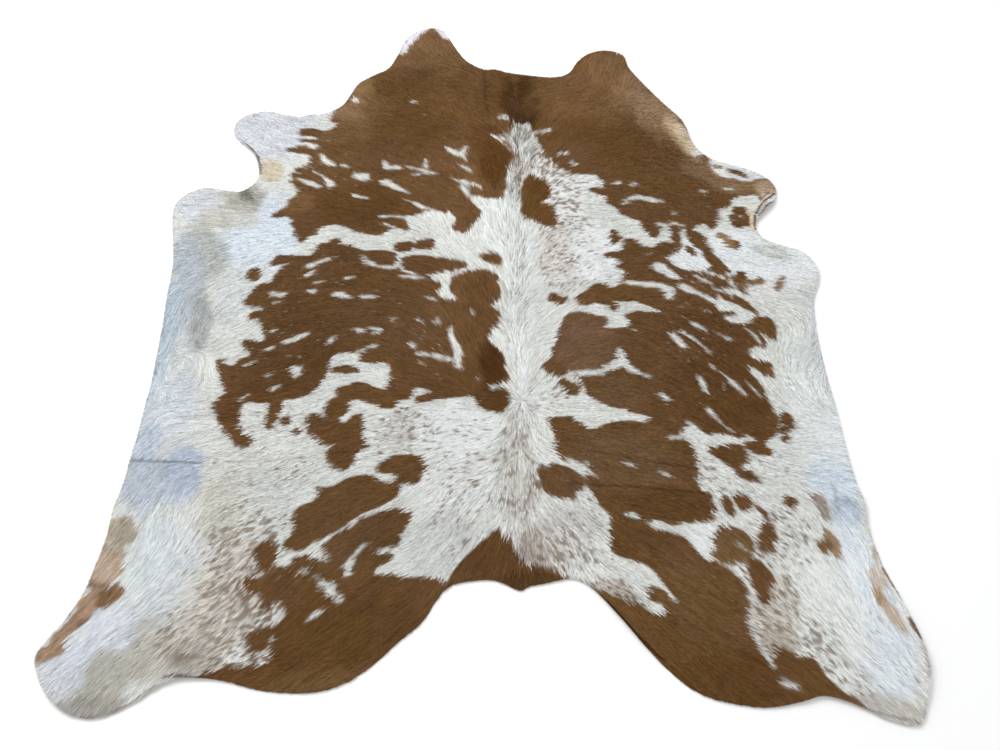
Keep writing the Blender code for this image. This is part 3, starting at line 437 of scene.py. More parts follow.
# Where darker hairs are mixed into the white: x, y, half lengths, turn, then how many, 0 to 1.
TICKING = (
    (-57, -86, 8, 16, 0, 1.0), (-50, -90, 7, 6, 0, 1.1), (-50, -99, 6, 4, 0, 1.05),
    (24, 45, 6, 3.5, -25, 1.05), (-64, -95, 9, 8, 10, 1.0), (-54, -96, 8, 7, 0, 1.0),
    (-56, -73, 12, 9, 0, 0.85), (-50, -88, 5, 8, 0, 0.7), (-58, -56, 12, 7, 0, 0.5),
    (-48, -57, 10, 5, 0, 0.55), (-70, -92, 6, 12, 0, 0.4), (-20, -46, 10, 7, 0, 0.75),
    (-24, -50, 4, 6, 0, 0.7), (-72, 62, 9, 6, 0, 0.2), (-78, 10, 5, 9, 0, 0.1), (-17, 19, 9, 3, 0, 0.35),
    # The zones along the spine, at x 8 to 10, darken the hair under and between the long locks: partly grey
    # hairs, partly painted shade.
    (25, 35, 6, 9, 0, 1.0), (31, 36, 4, 8, 0, 0.6), (26, 22, 7, 8, 0, 0.85), (8, 58, 8, 7, 0, 1.15),
    (17, 52, 6, 8, -40, 1.0), (19, 47, 6, 6, -40, 1.2), (9, 48, 2.4, 5, 0, 1.5), (9, 40, 3, 12, 0, 1.12),
    (20, 20, 4, 8, 0, 0.9), (23, 9, 4, 7, 0, 0.9), (9, 10, 3, 44, 0, 0.55), (21, 8, 6, 12, 0, 0.75),
    (33, 8, 7, 10, 0, 0.5), (24, 0, 6, 8, 0, 0.7), (66, -88, 9, 14, 0, 0.85), (73, -97, 8, 7, -20, 0.9),
    (79, -105, 7, 4, -20, 0.8), (71, -73, 7, 8, 0, 0.75), (60, -60, 9, 6, 0, 0.6), (70, -56, 8, 5, 0, 0.5),
    (18, -76, 12, 7, -20, 0.95), (29, -88, 10, 5, -25, 1.0), (9, -60, 6, 22, 0, 0.75),
    (-4, -62, 12, 16, 0, 0.55), (-8, -48, 10, 8, 0, 0.5), (10, 5, 7, 22, 0, 0.3), (86, -100, 8, 10, 0, 0.35),
    (-48, -44, 12, 6, 0, 0.4), (-13, 8, 8, 6, 0, 0.25), (-45, 18, 9, 2, 0, 0.2), (16, -36, 6, 6, 0, 0.5),
    (24, -66, 6, 8, 0, 0.55), (80, -24, 3, 16, 10, 0.25), (-36, -28, 8, 3, 0, 0.3), (85, 13, 4, 4, 0, 0.1),
)

# Narrow lines and lips along the edge, painted over all: places and half widths, colour, strength. Pale
# lips, brown bands and dark specks are the hide's own colour; the dark and grey lines hard on the edge are
# painted shadow where the edge lifts and curls.
EDGE_MARKS_AND_SHADOWS = (
    # left foreleg
    # painted shadow: the dark line between the coat and the curled leather lip of the left foreleg
    (((-78.2, 57, 0.1), (-75.4, 54.3, 0.2), (-72.8, 51.2, 0.25), (-71.2, 48.3, 0.3), (-70, 45, 0.25),
      (-69.6, 42, 0.1)), (70, 55, 42), 0.9),
    (((-82.6, 61, 0.15), (-82.4, 66, 0.15), (-79.5, 69.6, 0.15), (-74, 70.8, 0.15), (-66, 69.3, 0.1)),
      (150, 134, 124), 0.6),
    # right neck and foreleg
    (((64, 64.5, 0.1), (65, 61.5, 0.25), (65.4, 60, 0.1)), (112, 92, 84), 0.8),
    (((80.2, 26, 0.6), (79.9, 23.4, 0.9), (79.6, 20, 0.8)), (236, 222, 196), 0.8),
    (((80.9, 25, 0.4), (80.5, 22, 0.4), (80.5, 19.8, 0.2)), (108, 84, 60), 0.9),
    (((85.5, 33, 1.2), (84.5, 30.5, 1), (83, 28, 0.7)), (206, 190, 168), 0.8),
    (((88.3, 34, 0.25), (86.5, 32.2, 0.35), (84.5, 30.6, 0.25), (82.6, 28.2, 0.25), (81.4, 25.8, 0.35)),
      (66, 56, 50), 0.9),
    (((87.8, 31, 0.15), (85.6, 29.2, 0.25), (83.4, 26.8, 0.3), (82, 24.4, 0.2)), (88, 74, 62), 0.85),
    (((86.8, 34.8, 0.3), (85, 33, 0.3), (84, 31.8, 0.2)), (120, 94, 68), 0.7),
    # right hind leg
    (((92.3, -80.8, 0.2), (93.9, -85, 0.4), (95.4, -89, 0.35), (96, -90.6, 0.2)), (156, 122, 94), 0.9),
    (((95, -92.3, 0.3), (95.8, -94.5, 0.6), (96.5, -96.4, 0.4)), (112, 80, 48), 0.9),
    (((96, -97.5, 0.12), (96.4, -103, 0.15), (96.6, -109, 0.1)), (140, 134, 128), 0.7),
    (((96.8, -98.8, 0.2), (97.2, -100, 0.2)), (84, 78, 72), 0.8),
    (((96.8, -102.3, 0.2), (97.4, -103.4, 0.2)), (92, 86, 80), 0.8),
    (((97, -105.6, 0.2), (97.2, -106.6, 0.2)), (84, 78, 72), 0.8),
    (((75.5, -108.4, 0.2), (80, -110, 0.2), (86, -112, 0.15), (92, -113.3, 0.15)), (140, 124, 116), 0.7),
    # painted shadow under the turned edge of the right thigh's notch: the black line
    (((21.5, -84.2, 0.15), (26, -86.5, 0.3), (29.5, -89.8, 0.35), (33, -94, 0.35), (37, -98.4, 0.3),
      (40, -101, 0.15)), (40, 34, 28), 0.9),
    # left hind leg
    (((-90.5, -91, 0.15), (-94, -95.5, 0.3), (-96.6, -99.8, 0.35), (-97.2, -101.6, 0.2)),
      (104, 82, 62), 0.8),
    (((-96.5, -101.5, 0.2), (-96.4, -103.6, 0.25), (-95.3, -106, 0.15)), (84, 70, 60), 0.85),
    # the dark line along the bottom edge of the left hind leg: partly the leather edge, partly painted
    # contact shadow
    (((-93, -108, 0.1), (-90, -110.6, 0.2), (-87, -112, 0.4), (-83.5, -112.7, 0.45), (-80.5, -112.4, 0.3)),
      (104, 90, 76), 0.85),
    (((-80, -112, 0.12), (-74, -110, 0.15), (-68, -105.6, 0.15)), (136, 124, 116), 0.7),
    (((-67, -104.2, 0.12), (-64, -104, 0.3), (-60.5, -104.3, 0.3), (-56.5, -104.4, 0.15)),
      (92, 70, 56), 0.9),
)

HAIR_GLINT = (0.003, 0.006, 0.007)  # linear light that the hair's gloss adds to its colour
TICK_GREY = (144, 131, 117)  # dark hairs in the white
TICK_BROWN = (114, 89, 66)  # the same, beside the brown

# Where pale hairs are mixed into the brown, in the same way.
FROST = (
    (-48, 3, 18, 10, 0, 0.55), (-55, -18, 14, 14, 0, 0.6), (-30, -10, 16, 12, 0, 0.45),
    (-12, -20, 8, 12, 0, 0.6), (-32, -24, 10, 8, 0, 0.5), (60, -5, 14, 14, 0, 0.55),
    (55, -28, 14, 14, 0, 0.5), (42, 6, 10, 8, 0, 0.4), (62, 22, 12, 8, 0, 0.5), (72, 32, 10, 6, 0, 0.5),
    (-48, 46, 12, 12, 0, 0.55), (-22, 40, 14, 10, 0, 0.4), (-45, -82, 8, 5, 0, 0.5), (15, 58, 6, 8, 0, 0.6),
    (-8, 45, 8, 8, 0, 0.4), (60, -55, 8, 8, 0, 0.5),
)

# Lie of the hair: x, y and the heading in degrees, anticlockwise from x.
LIE = (
    (0, 60, 140), (0, 30, 130), (0, 10, 130), (2, -10, 125), (4, -28, 150), (0, -42, 190), (0, -55, 205),
    (0, -70, 225), (4, -80, 250), (18, 55, 50), (20, 26, 30), (16, 37, 45), (24, 40, 5), (24, 31, 5),
    (30, 38, 0), (30, 26, 0), (24, 22, 8), (31, 14, 8), (24, 12, 22), (22, 3, 36), (16, 12, 48),
    (18, -10, 50), (17, -28, 40), (20, -42, -15), (20, -55, -25), (20, -70, -45), (14, -80, -70),
    (5, 62, 125), (15, 60, 55), (7, 45, 104), (8, 37, 100), (9.5, 46, 100), (13, 46, 70), (6, 30, 110),
    (7, 54, 125), (3, 58, 140), (15, 55, 40), (5.5, 15, 118), (12.5, 15, 58), (10, 26, 98), (10, 34, 98),
    (11, 21, 84), (5.5, 0, 125), (12.5, 0, 50), (5, -15, 140), (12.5, -15, 45), (17, -5, 20), (17, -18, 15),
    (6.5, -28, 115), (12.5, -28, 62), (10, 60, 92), (9, 40, 95), (9, 20, 90), (9, 0, 90), (9, -20, 90),
    (10, -32, 90), (10, -43, -90), (5, -36.5, 172), (15, -36.5, 8), (7, -40, 230), (13, -40, -50),
    (7, -33, 140), (13, -33, 40), (9, -60, -90), (9, -75, -90), (5, 80, 170), (15, 80, 10), (-15, 90, 165),
    (-20, 108, 110), (-30, 75, 170), (-42, 80, 140), (30, 80, 20), (42, 90, 80), (40, 60, -5), (55, 70, -30),
    (60, 55, -30), (-20, 60, 165), (-40, 60, 170), (-15, 40, 150), (-30, 35, 155), (-50, 42, 150),
    (-65, 60, 160), (-78, 63, 170), (-60, 30, 190), (-85, 30, 175), (-40, 15, 185), (-20, 12, 165),
    (-30, -5, 180), (-50, 0, 195), (-50, -20, 205), (-70, 10, 200), (-82, 5, 230), (-83, -20, 255),
    (-70, -20, 215), (-80, -15, 270), (-76.3, -27, 90), (-79.8, -23.6, 180), (-83.3, -27, 270),
    (-79.8, -30.4, 0), (-78, -42, 180), (-83, -45, 250), (-60, -40, 195), (-60, -55, 200), (-40, -60, 200),
    (-20, -50, 195), (-20, -70, 210), (-30, -90, 215), (-50, -80, 220), (-60, -85, 225), (-72, -70, 262),
    (-70, -95, 235), (-82, -80, 255), (-85, -100, 235), (-78, -105, 230), (-40, -100, 220), (30, 45, 15),
    (35, 20, 20), (45, 30, -15), (60, 35, -20), (75, 35, -10), (85, 38, 0), (85, 8, -10), (45, 0, -5),
    (60, 5, -40), (35, -10, 0), (35, -30, -10), (50, -20, -30), (62, -20, -48), (65, -35, -48),
    (70, -10, -45), (86, -25, 240), (78, -30, -60), (75, -50, -20), (85, -50, -10), (40, -55, -12),
    (45, -80, -40), (60, -70, -40), (70, -85, -55), (80, -75, -60), (85, -100, -50), (90, -85, -80),
    (60, -100, -35), (75, -100, -45), (35, -85, -35),
)

# Places with longer short hair: x, y, half lengths, turn, then how much longer, as a share of the usual.
LONGER = (
    (-72, -88, 20, 26, 0, 0.6), (74, -92, 20, 26, 0, 0.5), (9, 10, 7, 60, 0, 0.5), (-80, 0, 10, 44, 0, 0.3),
    (84, -25, 8, 34, 0, 0.3), (9, -60, 12, 24, 0, 0.4), (-66, 50, 14, 20, 0, 0.2),
)

# The long hair of the spine: y, left and right edge, length, how far its tips stand up, share kept.
CREST = (
    (-44, 8, 13, 2.6, 0.4, 0.5), (-38, 9, 13, 2.2, 0.4, 0.6), (-30, 8.8, 12.5, 3, 0.5, 0.7),
    (-20, 7, 12.5, 4.4, 0.5, 0.7), (0, 6.5, 13, 5, 0.6, 0.7), (8, 6, 13.5, 5.2, 0.6, 0.7),
    (13, 1, 14, 5.2, 0.7, 0.7), (17, 0, 14, 5, 0.8, 0.7), (20, -0.5, 12, 4.6, 0.8, 0.7),
    (23, 0, 10.2, 4.6, 0.8, 0.7), (27, 1.5, 9.8, 4.6, 0.8, 0.7), (28.5, 6, 9.8, 4.6, 0.9, 0.7),
    (34, 7, 9.8, 4.6, 0.9, 0.6), (43, 8, 10.5, 4.6, 0.9, 0.5), (47, 9.3, 14, 4.2, 0.9, 0.45),
    (52, 9.3, 15, 4.2, 0.9, 0.42), (57, 7, 14, 3.6, 0.9, 0.42), (60, 9, 13, 3, 0.7, 0.4),
    (63, 9.2, 12.5, 2.4, 0.6, 0.4),
)

CREST_WHITE = (232, 236, 233)  # the spine's white hair is at least as bright
CREST_DARK = (104, 86, 66)  # the dark locks between the tufts: partly darker hairs, partly painted shade

# Soft troughs pressed or worn into the skin: x and y of both ends, depth in mm, half width in cm, how dark
# the painted shade in it is.
CREASES = (
    (-87, -54.3, -69, -55, 0.6, 0.5, 0.5), (-69, -55, -40, -53.4, 0.4, 0.5, 0.15),
    (27, -51.5, 41, -54.5, 0.6, 0.6, 0.3), (41, -54.5, 53, -56.5, 0.5, 0.6, 0.3),
    (20, -60.2, 38, -61.3, 0.6, 0.6, 0.35), (38, -61.3, 55, -62.9, 0.5, 0.6, 0.35),
    (-0.6, 91, -0.2, 78, 1.4, 0.9, 0.3), (-0.2, 78, 1.5, 62, 1, 0.9, 0.2),
    (-38, -52, -29, -51.6, 0.5, 0.5, 0.25), (49, 77, 54, 63, 1.2, 1.6, 0.1), (-32, 87, -31, 79, 1, 1.2, 0.1),
    (-74, 35.5, -70, 31, 2.2, 1.6, 0.25), (-79, 27, -76, 19, 1, 1.6, 0.1),
    (85.5, -61, 85.3, -67, 0.8, 0.8, 0.25), (-77.5, -19, -75.5, -22, 1, 0.7, 0.25),
)


# ---------------------------------------------------------------------------------------------
# Sizes and colours that a user would change
# ---------------------------------------------------------------------------------------------

class HideSkinSettings(bpy.types.PropertyGroup):
    """Sizes and colours of the tanned skin"""
    cell: bpy.props.FloatProperty(
        name="Cell", description="Width of the faces that the skin is made of",
        default=0.0098, min=0.004, unit="LENGTH", subtype="DISTANCE")
    thickness: bpy.props.FloatProperty(
        name="Thickness", description="Thickness of the tanned skin under the hair",
        default=0.0024, min=0.001, unit="LENGTH", subtype="DISTANCE")
    hair_depth: bpy.props.FloatProperty(
        name="Hair Depth", description="Thickness of skin and pressed hair together, as the solid has it",
        default=0.004, min=0.001, unit="LENGTH", subtype="DISTANCE")
    rim_round: bpy.props.FloatProperty(
        name="Rim Rounding", description="Width of the rounding on the cut edge",
        default=0.0005, min=0.0, unit="LENGTH", subtype="DISTANCE")
    suede: bpy.props.FloatVectorProperty(
        name="Suede", description="Colour of the underside", size=3, subtype="COLOR",
        default=(0.53, 0.47, 0.38), min=0.0, max=1.0)
    cut_edge: bpy.props.FloatVectorProperty(
        name="Cut Edge", description="Colour of the leather where it is cut", size=3, subtype="COLOR",
        default=(0.50, 0.43, 0.34), min=0.0, max=1.0)


class HideCoatSettings(bpy.types.PropertyGroup):
    """Sizes of the short coat"""
    spacing: bpy.props.FloatProperty(
        name="Spacing", description="Distance from one lock of hair to the next",
        default=0.00206, min=0.001, unit="LENGTH", subtype="DISTANCE")
    length: bpy.props.FloatProperty(
        name="Length", description="Usual length of the short hair",
        default=0.0125, min=0.002, unit="LENGTH", subtype="DISTANCE")
    width: bpy.props.FloatProperty(
        name="Lock Width", description="Width of a lock of hair at its root",
        default=0.0023, min=0.0002, unit="LENGTH", subtype="DISTANCE")
    lift: bpy.props.FloatProperty(
        name="Lift", description="How far the tips stand above the skin",
        default=0.0028, min=0.0, unit="LENGTH", subtype="DISTANCE")
    overhang: bpy.props.FloatProperty(
        name="Overhang", description="How far the hair may reach past the cut edge",
        default=0.003, min=0.0, unit="LENGTH", subtype="DISTANCE")


class HideCrestSettings(bpy.types.PropertyGroup):
    """Sizes of the long hair on the spine"""
    spacing: bpy.props.FloatProperty(
        name="Spacing", description="Distance from one long lock to the next",
        default=0.0026, min=0.001, unit="LENGTH", subtype="DISTANCE")
    width: bpy.props.FloatProperty(
        name="Lock Width", description="Width of a long lock at its root",
        default=0.0014, min=0.0002, unit="LENGTH", subtype="DISTANCE")
    tuft: bpy.props.FloatProperty(
        name="Tuft", description="Width of a tuft whose tips run together",
        default=0.011, min=0.002, unit="LENGTH", subtype="DISTANCE")


class HideStageSettings(bpy.types.PropertyGroup):
    """Floor, light and camera"""
    floor_size: bpy.props.FloatProperty(
        name="Floor", description="Width of the floor", default=30.0, unit="LENGTH", subtype="DISTANCE")
    floor_colour: bpy.props.FloatVectorProperty(
        name="Floor Colour", description="Colour of the floor", size=3, subtype="COLOR",
        default=(0.90, 0.90, 0.90), min=0.0, max=1.0)
    eye: bpy.props.FloatVectorProperty(
        name="Eye", description="Place of the camera", size=3, subtype="XYZ", unit="LENGTH",
        default=(0.040, -1.2836, 1.717))
    pitch: bpy.props.FloatProperty(
        name="Pitch", description="How far the camera looks down from the level",
        default=math.radians(60), subtype="ANGLE", unit="ROTATION")
    lens: bpy.props.FloatProperty(
        name="Lens", description="Focal length on a 36 mm sensor", default=27.0, min=1.0)
    sky: bpy.props.FloatProperty(
        name="Sky", description="Strength of the even light from all round", default=0.80, min=0.0)
    lamp: bpy.props.FloatProperty(
        name="Lamp", description="Power of the soft lamp", default=170.0, min=0.0, unit="POWER")


# ---------------------------------------------------------------------------------------------
# The chart: numbers on an even net of points over the hide
# ---------------------------------------------------------------------------------------------

CHART_STEP = 0.002  # metres, as all lengths from here on
CHART_MARGIN = 0.03
HEIGHT_STEP = 0.010
LIE_STEP = 0.020
REACH = 0.04  # distances from a mark's edge are worked out this far
OUTLINE_CUTS = 3  # short lines between two of the rim's points
PATCH_CUTS = 4  # short lines between two of a brown field's corners

# Height of the skin
HEIGHT_INSET = 0.001  # the solid's height is read this far inside its edge
HEIGHT_ROUNDS = 6  # points past its edge that the height is carried on to

# Lie of the hair
LIE_NEAR = 4e-4  # square of the distance below which one sample no longer outweighs the rest
LIE_FALL = -1.6  # power with which a sample's weight falls off

# Edges of the markings
MARK_SPREAD = 0.0016  # how far a brown mark spreads past its typed edge
MARK_DRAW_IN = 0.0004  # how far a white mark draws in from its typed edge
MARK_FEATHER = 0.5  # how steeply a white mark's hairs give way to brown ones
STREAKED = 0.0007  # how far streaks push a brown edge in and out
EDGE_SLIP = (0.0042, 0.0030)  # how far hairs carry a brown edge along, by streak and by chance
EDGE_SOFT = (-0.0030, 0.0026)  # depths in the brown between which white turns to brown
NEAR_BROWN = (-0.035, -0.004)  # depths between which dark hairs in the white turn from grey to brown
ZONE_SOFT = (0.65, 1.3)  # a zone fades out between these shares of its half lengths
ZONE_RAGGED = 0.22  # how far lumps push the zone's edge in and out, as such a share
ZONE_REACH = 1.5  # how far out a zone is worked out, as such a share
EDGE_MARKS_AND_SHADOWS_REACH = 0.02
EDGE_MARKS_AND_SHADOWS_SOFT = (-0.0015, 0.0010)  # depths in an edge line between which it takes hold

# Streaks and flecks: noise drawn out along the hair
STREAK_LENGTH = 0.040
FLECK_LENGTH = 0.011
FLECK_WIDTH = 0.0055
FLECK_GRAIN = 0.3  # share of fine grain in the flecks
LUMP_WIDTH = 0.035

# Brightness, as shares
BROWN_VARIED = 0.12  # how much brown locks vary, by streak and by chance alike
WHITE_VARIED = 0.11
TICKED_VARIED = 0.05  # how much more the white varies where it is ticked
TICKING_SHARE = 0.88  # how fully a dark hair hides the white
TICKING_FROM = 2.25
TICKING_GAIN = 2.35  # fleck + gain * ticking - from is how dark a hair is, from 0 to 1
FROST_SHARE = 0.5
FROST_FROM = 2.9
FROST_GAIN = 2.0
NO_ZONE = 0.02  # ticking and frost below this are left out
RIM_DARK = 0.22  # how much painted shade darkens the hair at the cut edge
RIM_WIDTH = 0.0040  # how far in from the cut edge that painted shade reaches
CREASE_SHADE = 0.6  # half width of a crease's shade, as a share of the crease's own
GLINT_LEAST = 0.45  # share of its colour that a lock keeps when the gloss is taken off it
DARKEST, LIGHTEST = 0.002, 0.96

# Soft random waves: strength, width and seed
SKIN_WAVES = ((0.0007, 0.09, 11), (0.0004, 0.045, 12))  # height
LIE_WAVES = ((0.20, 0.12, 21), (0.12, 0.05, 22))  # heading, in radians
EDGE_WAVES = ((0.0018, 0.018, 34), (0.0012, 0.008, 35))  # place of a brown edge
TONE_WAVES = ((0.07, 0.03, 36), (0.05, 0.012, 37))  # brightness of the brown
BLUE_WAVES = ((0.10, 0.06, 38),)  # blue in the brown


def placed(x, y):
    """A table's centimetres as metres in the frame."""
    return np.asarray(x) / 100 + TABLE_ZERO[0], np.asarray(y) / 100 + TABLE_ZERO[1]


def linear(*rgb):
    """sRGB, 0 to 255, as linear light."""
    c = np.asarray(rgb, float) / 255
    return np.where(c <= 0.04045, c / 12.92, ((c + 0.055) / 1.055) ** 2.4)


def smoothstep(low, high, value):
    """0 up to low, 1 from high on, and a soft step between."""
    t = np.clip((value - low) / (high - low), 0, 1)
    return t * t * (3 - 2 * t)


class Chart:
    """An even net of points, and how to read what is kept on it."""

    def __init__(self, low, high, step):
        self.step = step
        self.low = np.array(low)
        self.xs = np.arange(low[0], high[0] + step, step)
        self.ys = np.arange(low[1], high[1] + step, step)
        self.x, self.y = np.meshgrid(self.xs, self.ys)

    def part(self, x, y, reach):
        """The rows and columns within reach of some points."""
        last = (len(self.xs), len(self.ys))
        spans = []
        for values, low, count in ((x, self.low[0], last[0]), (y, self.low[1], last[1])):
            first = int(np.clip((np.min(values) - reach - low) / self.step, 0, count))
            end = int(np.clip((np.max(values) + reach - low) / self.step + 2, 0, count))
            spans.append(slice(first, end))
        return spans[1], spans[0]

    def spot(self, x, y):
        """The nearest point's row and column."""
        col = np.clip(((x - self.low[0]) / self.step + 0.5).astype(int), 0, len(self.xs) - 1)
        row = np.clip(((y - self.low[1]) / self.step + 0.5).astype(int), 0, len(self.ys) - 1)
        return row, col

    def read(self, values, x, y):
        """Values between the net's points."""
        u = np.clip((x - self.low[0]) / self.step, 0, len(self.xs) - 1.001)
        v = np.clip((y - self.low[1]) / self.step, 0, len(self.ys) - 1.001)
        col, row = u.astype(int), v.astype(int)
        u, v = u - col, v - row
        if values.ndim == 3:
            u, v = u[..., None], v[..., None]
        low = values[row, col] * (1 - u) + values[row, col + 1] * u
        high = values[row + 1, col] * (1 - u) + values[row + 1, col + 1] * u
        return low * (1 - v) + high * v

    def cloud(self, cell, seed):
        """Soft random lumps about a cell wide, from -1 to 1."""
        size = [int((len(axis) - 1) * self.step / cell) + 3 for axis in (self.ys, self.xs)]
        net = np.random.default_rng(seed).uniform(-1, 1, size)
        u, v = (self.x - self.low[0]) / cell, (self.y - self.low[1]) / cell
        col, row = u.astype(int), v.astype(int)
        u, v = smoothstep(0, 1, u - col), smoothstep(0, 1, v - row)
        low = net[row, col] * (1 - u) + net[row, col + 1] * u
        high = net[row + 1, col] * (1 - u) + net[row + 1, col + 1] * u
        return low * (1 - v) + high * v


def waves(chart, rows, start=0):
    """Soft random waves of a few widths, added up."""
    return sum((strength * chart.cloud(width, seed) for strength, width, seed in rows), start)


def rounded(points, cuts):
    """A closed curve through the points, in short straight lines."""
    p = np.asarray(points, float)
    before, after, later = np.roll(p, 1, 0), np.roll(p, -1, 0), np.roll(p, -2, 0)
    rows = []
    for t in np.arange(cuts) / cuts:
        rows.append(0.5 * (2 * p + (after - before) * t
                           + (2 * before - 5 * p + 4 * after - later) * t ** 2
                           + (3 * p - before - 3 * after + later) * t ** 3))
    return np.stack(rows, 1).reshape(-1, 2)


def depth_inside(chart, curve, reach=REACH):
    """How far inside a closed curve each point of the chart lies, negative outside, up to reach."""
    far = np.full(chart.x.shape, reach)
    turns = np.zeros(chart.x.shape, np.int8)
    for (x0, y0), (x1, y1) in zip(curve, np.roll(curve, -1, 0)):
        part = chart.part((x0, x1), (y0, y1), reach)
        far[part] = np.minimum(far[part], -stroke_depth(chart, part, ((x0, y0, 0), (x1, y1, 0))))
        low, high = min(y0, y1), max(y0, y1)
        rows = np.flatnonzero((chart.ys >= low) & (chart.ys < high))
        if len(rows):
            across = x0 + (chart.ys[rows] - y0) * (x1 - x0) / (y1 - y0)
            cols = np.ceil((across - chart.low[0]) / chart.step).astype(int)
            np.add.at(turns, (rows, np.clip(cols, 0, len(chart.xs) - 1)), 1)
    inside = np.cumsum(turns, axis=1) % 2 == 1
    return np.where(inside, far, -far)


def stroke_depth(chart, part, stroke):
    """How far inside a stroke of varying width each point of a part of the chart lies."""
    x, y = chart.x[part], chart.y[part]
    best = np.full(x.shape, -1.0)
    for (x0, y0, r0), (x1, y1, r1) in zip(stroke, stroke[1:] or stroke):
        run, rise = x1 - x0, y1 - y0
        t = np.clip(((x - x0) * run + (y - y0) * rise) / max(run * run + rise * rise, 1e-12), 0, 1)
        best = np.maximum(best, r0 + (r1 - r0) * t - np.hypot(x - x0 - t * run, y - y0 - t * rise))
    return best


def table_stroke(chart, rows, reach=REACH):
    """A table's stroke in metres, and the part of the chart within reach of it."""
    stroke = [(*placed(x, y), r / 100) for x, y, r in rows]
    return stroke, chart.part(*np.array(stroke).T[:2], reach)


def crease_strength(chart, crease, width):
    """The part of the chart near a crease, and how strongly each point of it feels the crease."""
    x0, y0, x1, y1 = crease[:4]
    stroke, part = table_stroke(chart, ((x0, y0, 0), (x1, y1, 0)))
    off = -stroke_depth(chart, part, stroke) / width
    return part, np.exp(-off * off)


def zone_share(chart, lumps, x, y, half_x, half_y, turn):
    """The part of the chart near a zone, and how much each point belongs to it."""
    x, y = placed(x, y)
    half_x, half_y, turn = half_x / 100, half_y / 100, math.radians(turn)
    part = chart.part(x, y, ZONE_REACH * max(half_x, half_y))
    dx, dy = chart.x[part] - x, chart.y[part] - y
    along = (dx * math.cos(turn) + dy * math.sin(turn)) / half_x
    across = (dy * math.cos(turn) - dx * math.sin(turn)) / half_y
    return part, 1 - smoothstep(*ZONE_SOFT, np.hypot(along, across) + ZONE_RAGGED * lumps[part])


def painted(chart, lumps, base, tones):
    """A colour for each point of the chart: a base tone with softer zones laid over it."""
    colour = np.empty((*chart.x.shape, 3), np.float32)
    colour[:] = linear(*base)
    for *zone, red, green, blue, strength in tones:
        part, share = zone_share(chart, lumps, *zone)
        share = (strength * share)[..., None]
        colour[part] = colour[part] * (1 - share) + linear(red, green, blue) * share
    return colour


def combed(chart, grain, along_x, along_y, length):
    """Random grain drawn out along the lie of the hair, with a spread of 1."""
    def nearest(row, col):
        return (np.clip(row + 0.5, 0, grain.shape[0] - 1).astype(np.int32),
                np.clip(col + 0.5, 0, grain.shape[1] - 1).astype(np.int32))

    total = grain.copy()
    row0, col0 = np.indices(grain.shape, np.float32)
    for way in (1, -1):
        row, col = row0.copy(), col0.copy()
        for _ in range(int(length / chart.step / 2)):
            spot = nearest(row, col)
            row += way * along_y[spot]
            col += way * along_x[spot]
            total += grain[nearest(row, col)]
    return (total - total.mean()) / total.std()


def rim_outline(node):
    """The cut edge of a CAD solid, as a closed row of plan points, and a tree of its faces."""
    bm = bmesh.new()
    bm.from_mesh(node.data)
    bmesh.ops.remove_doubles(bm, verts=bm.verts, dist=1e-5)
    bm.normal_update()
    tree = BVHTree.FromBMesh(bm)
    next_to = {}
    for edge in bm.edges:
        ups = sorted(face.normal.z for face in edge.link_faces)
        if len(ups) == 2 and ups[0] < -0.5 and abs(ups[1]) < 0.5:  # the underside meets the cut edge
            a, b = edge.verts
            next_to.setdefault(a.index, []).append(b)
            next_to.setdefault(b.index, []).append(a)
    bm.verts.ensure_lookup_table()
    start = bm.verts[min(next_to)]
    loop, last, here = [], None, start
    while True:
        loop.append((here.co.x, here.co.y))
        ways = [v for v in next_to[here.index] if v is not last]
        last, here = here, ways[0]
        if here is start:
            break
    bm.free()
    return np.array(loop), tree


def grown(values, known, rounds):
    """Fills unknown points of a chart from their known neighbours, ring by ring."""
    values = np.where(known, values, 0.0)
    for _ in range(rounds):
        total, count = np.zeros_like(values), np.zeros_like(values)
        for axis in (0, 1):
            for way in (1, -1):
                total += np.roll(np.where(known, values, 0.0), way, axis)
                count += np.roll(known.astype(float), way, axis)
        new = ~known & (count > 0)
        values = np.where(new, total / np.maximum(count, 1), values)
        known = known | new
    return values


def softened(values, rounds):
    """A chart's values with small steps smoothed out."""
    for _ in range(rounds):
        for axis in (0, 1):
            values = (np.roll(values, 1, axis) + 2 * values + np.roll(values, -1, axis)) / 4
    return values


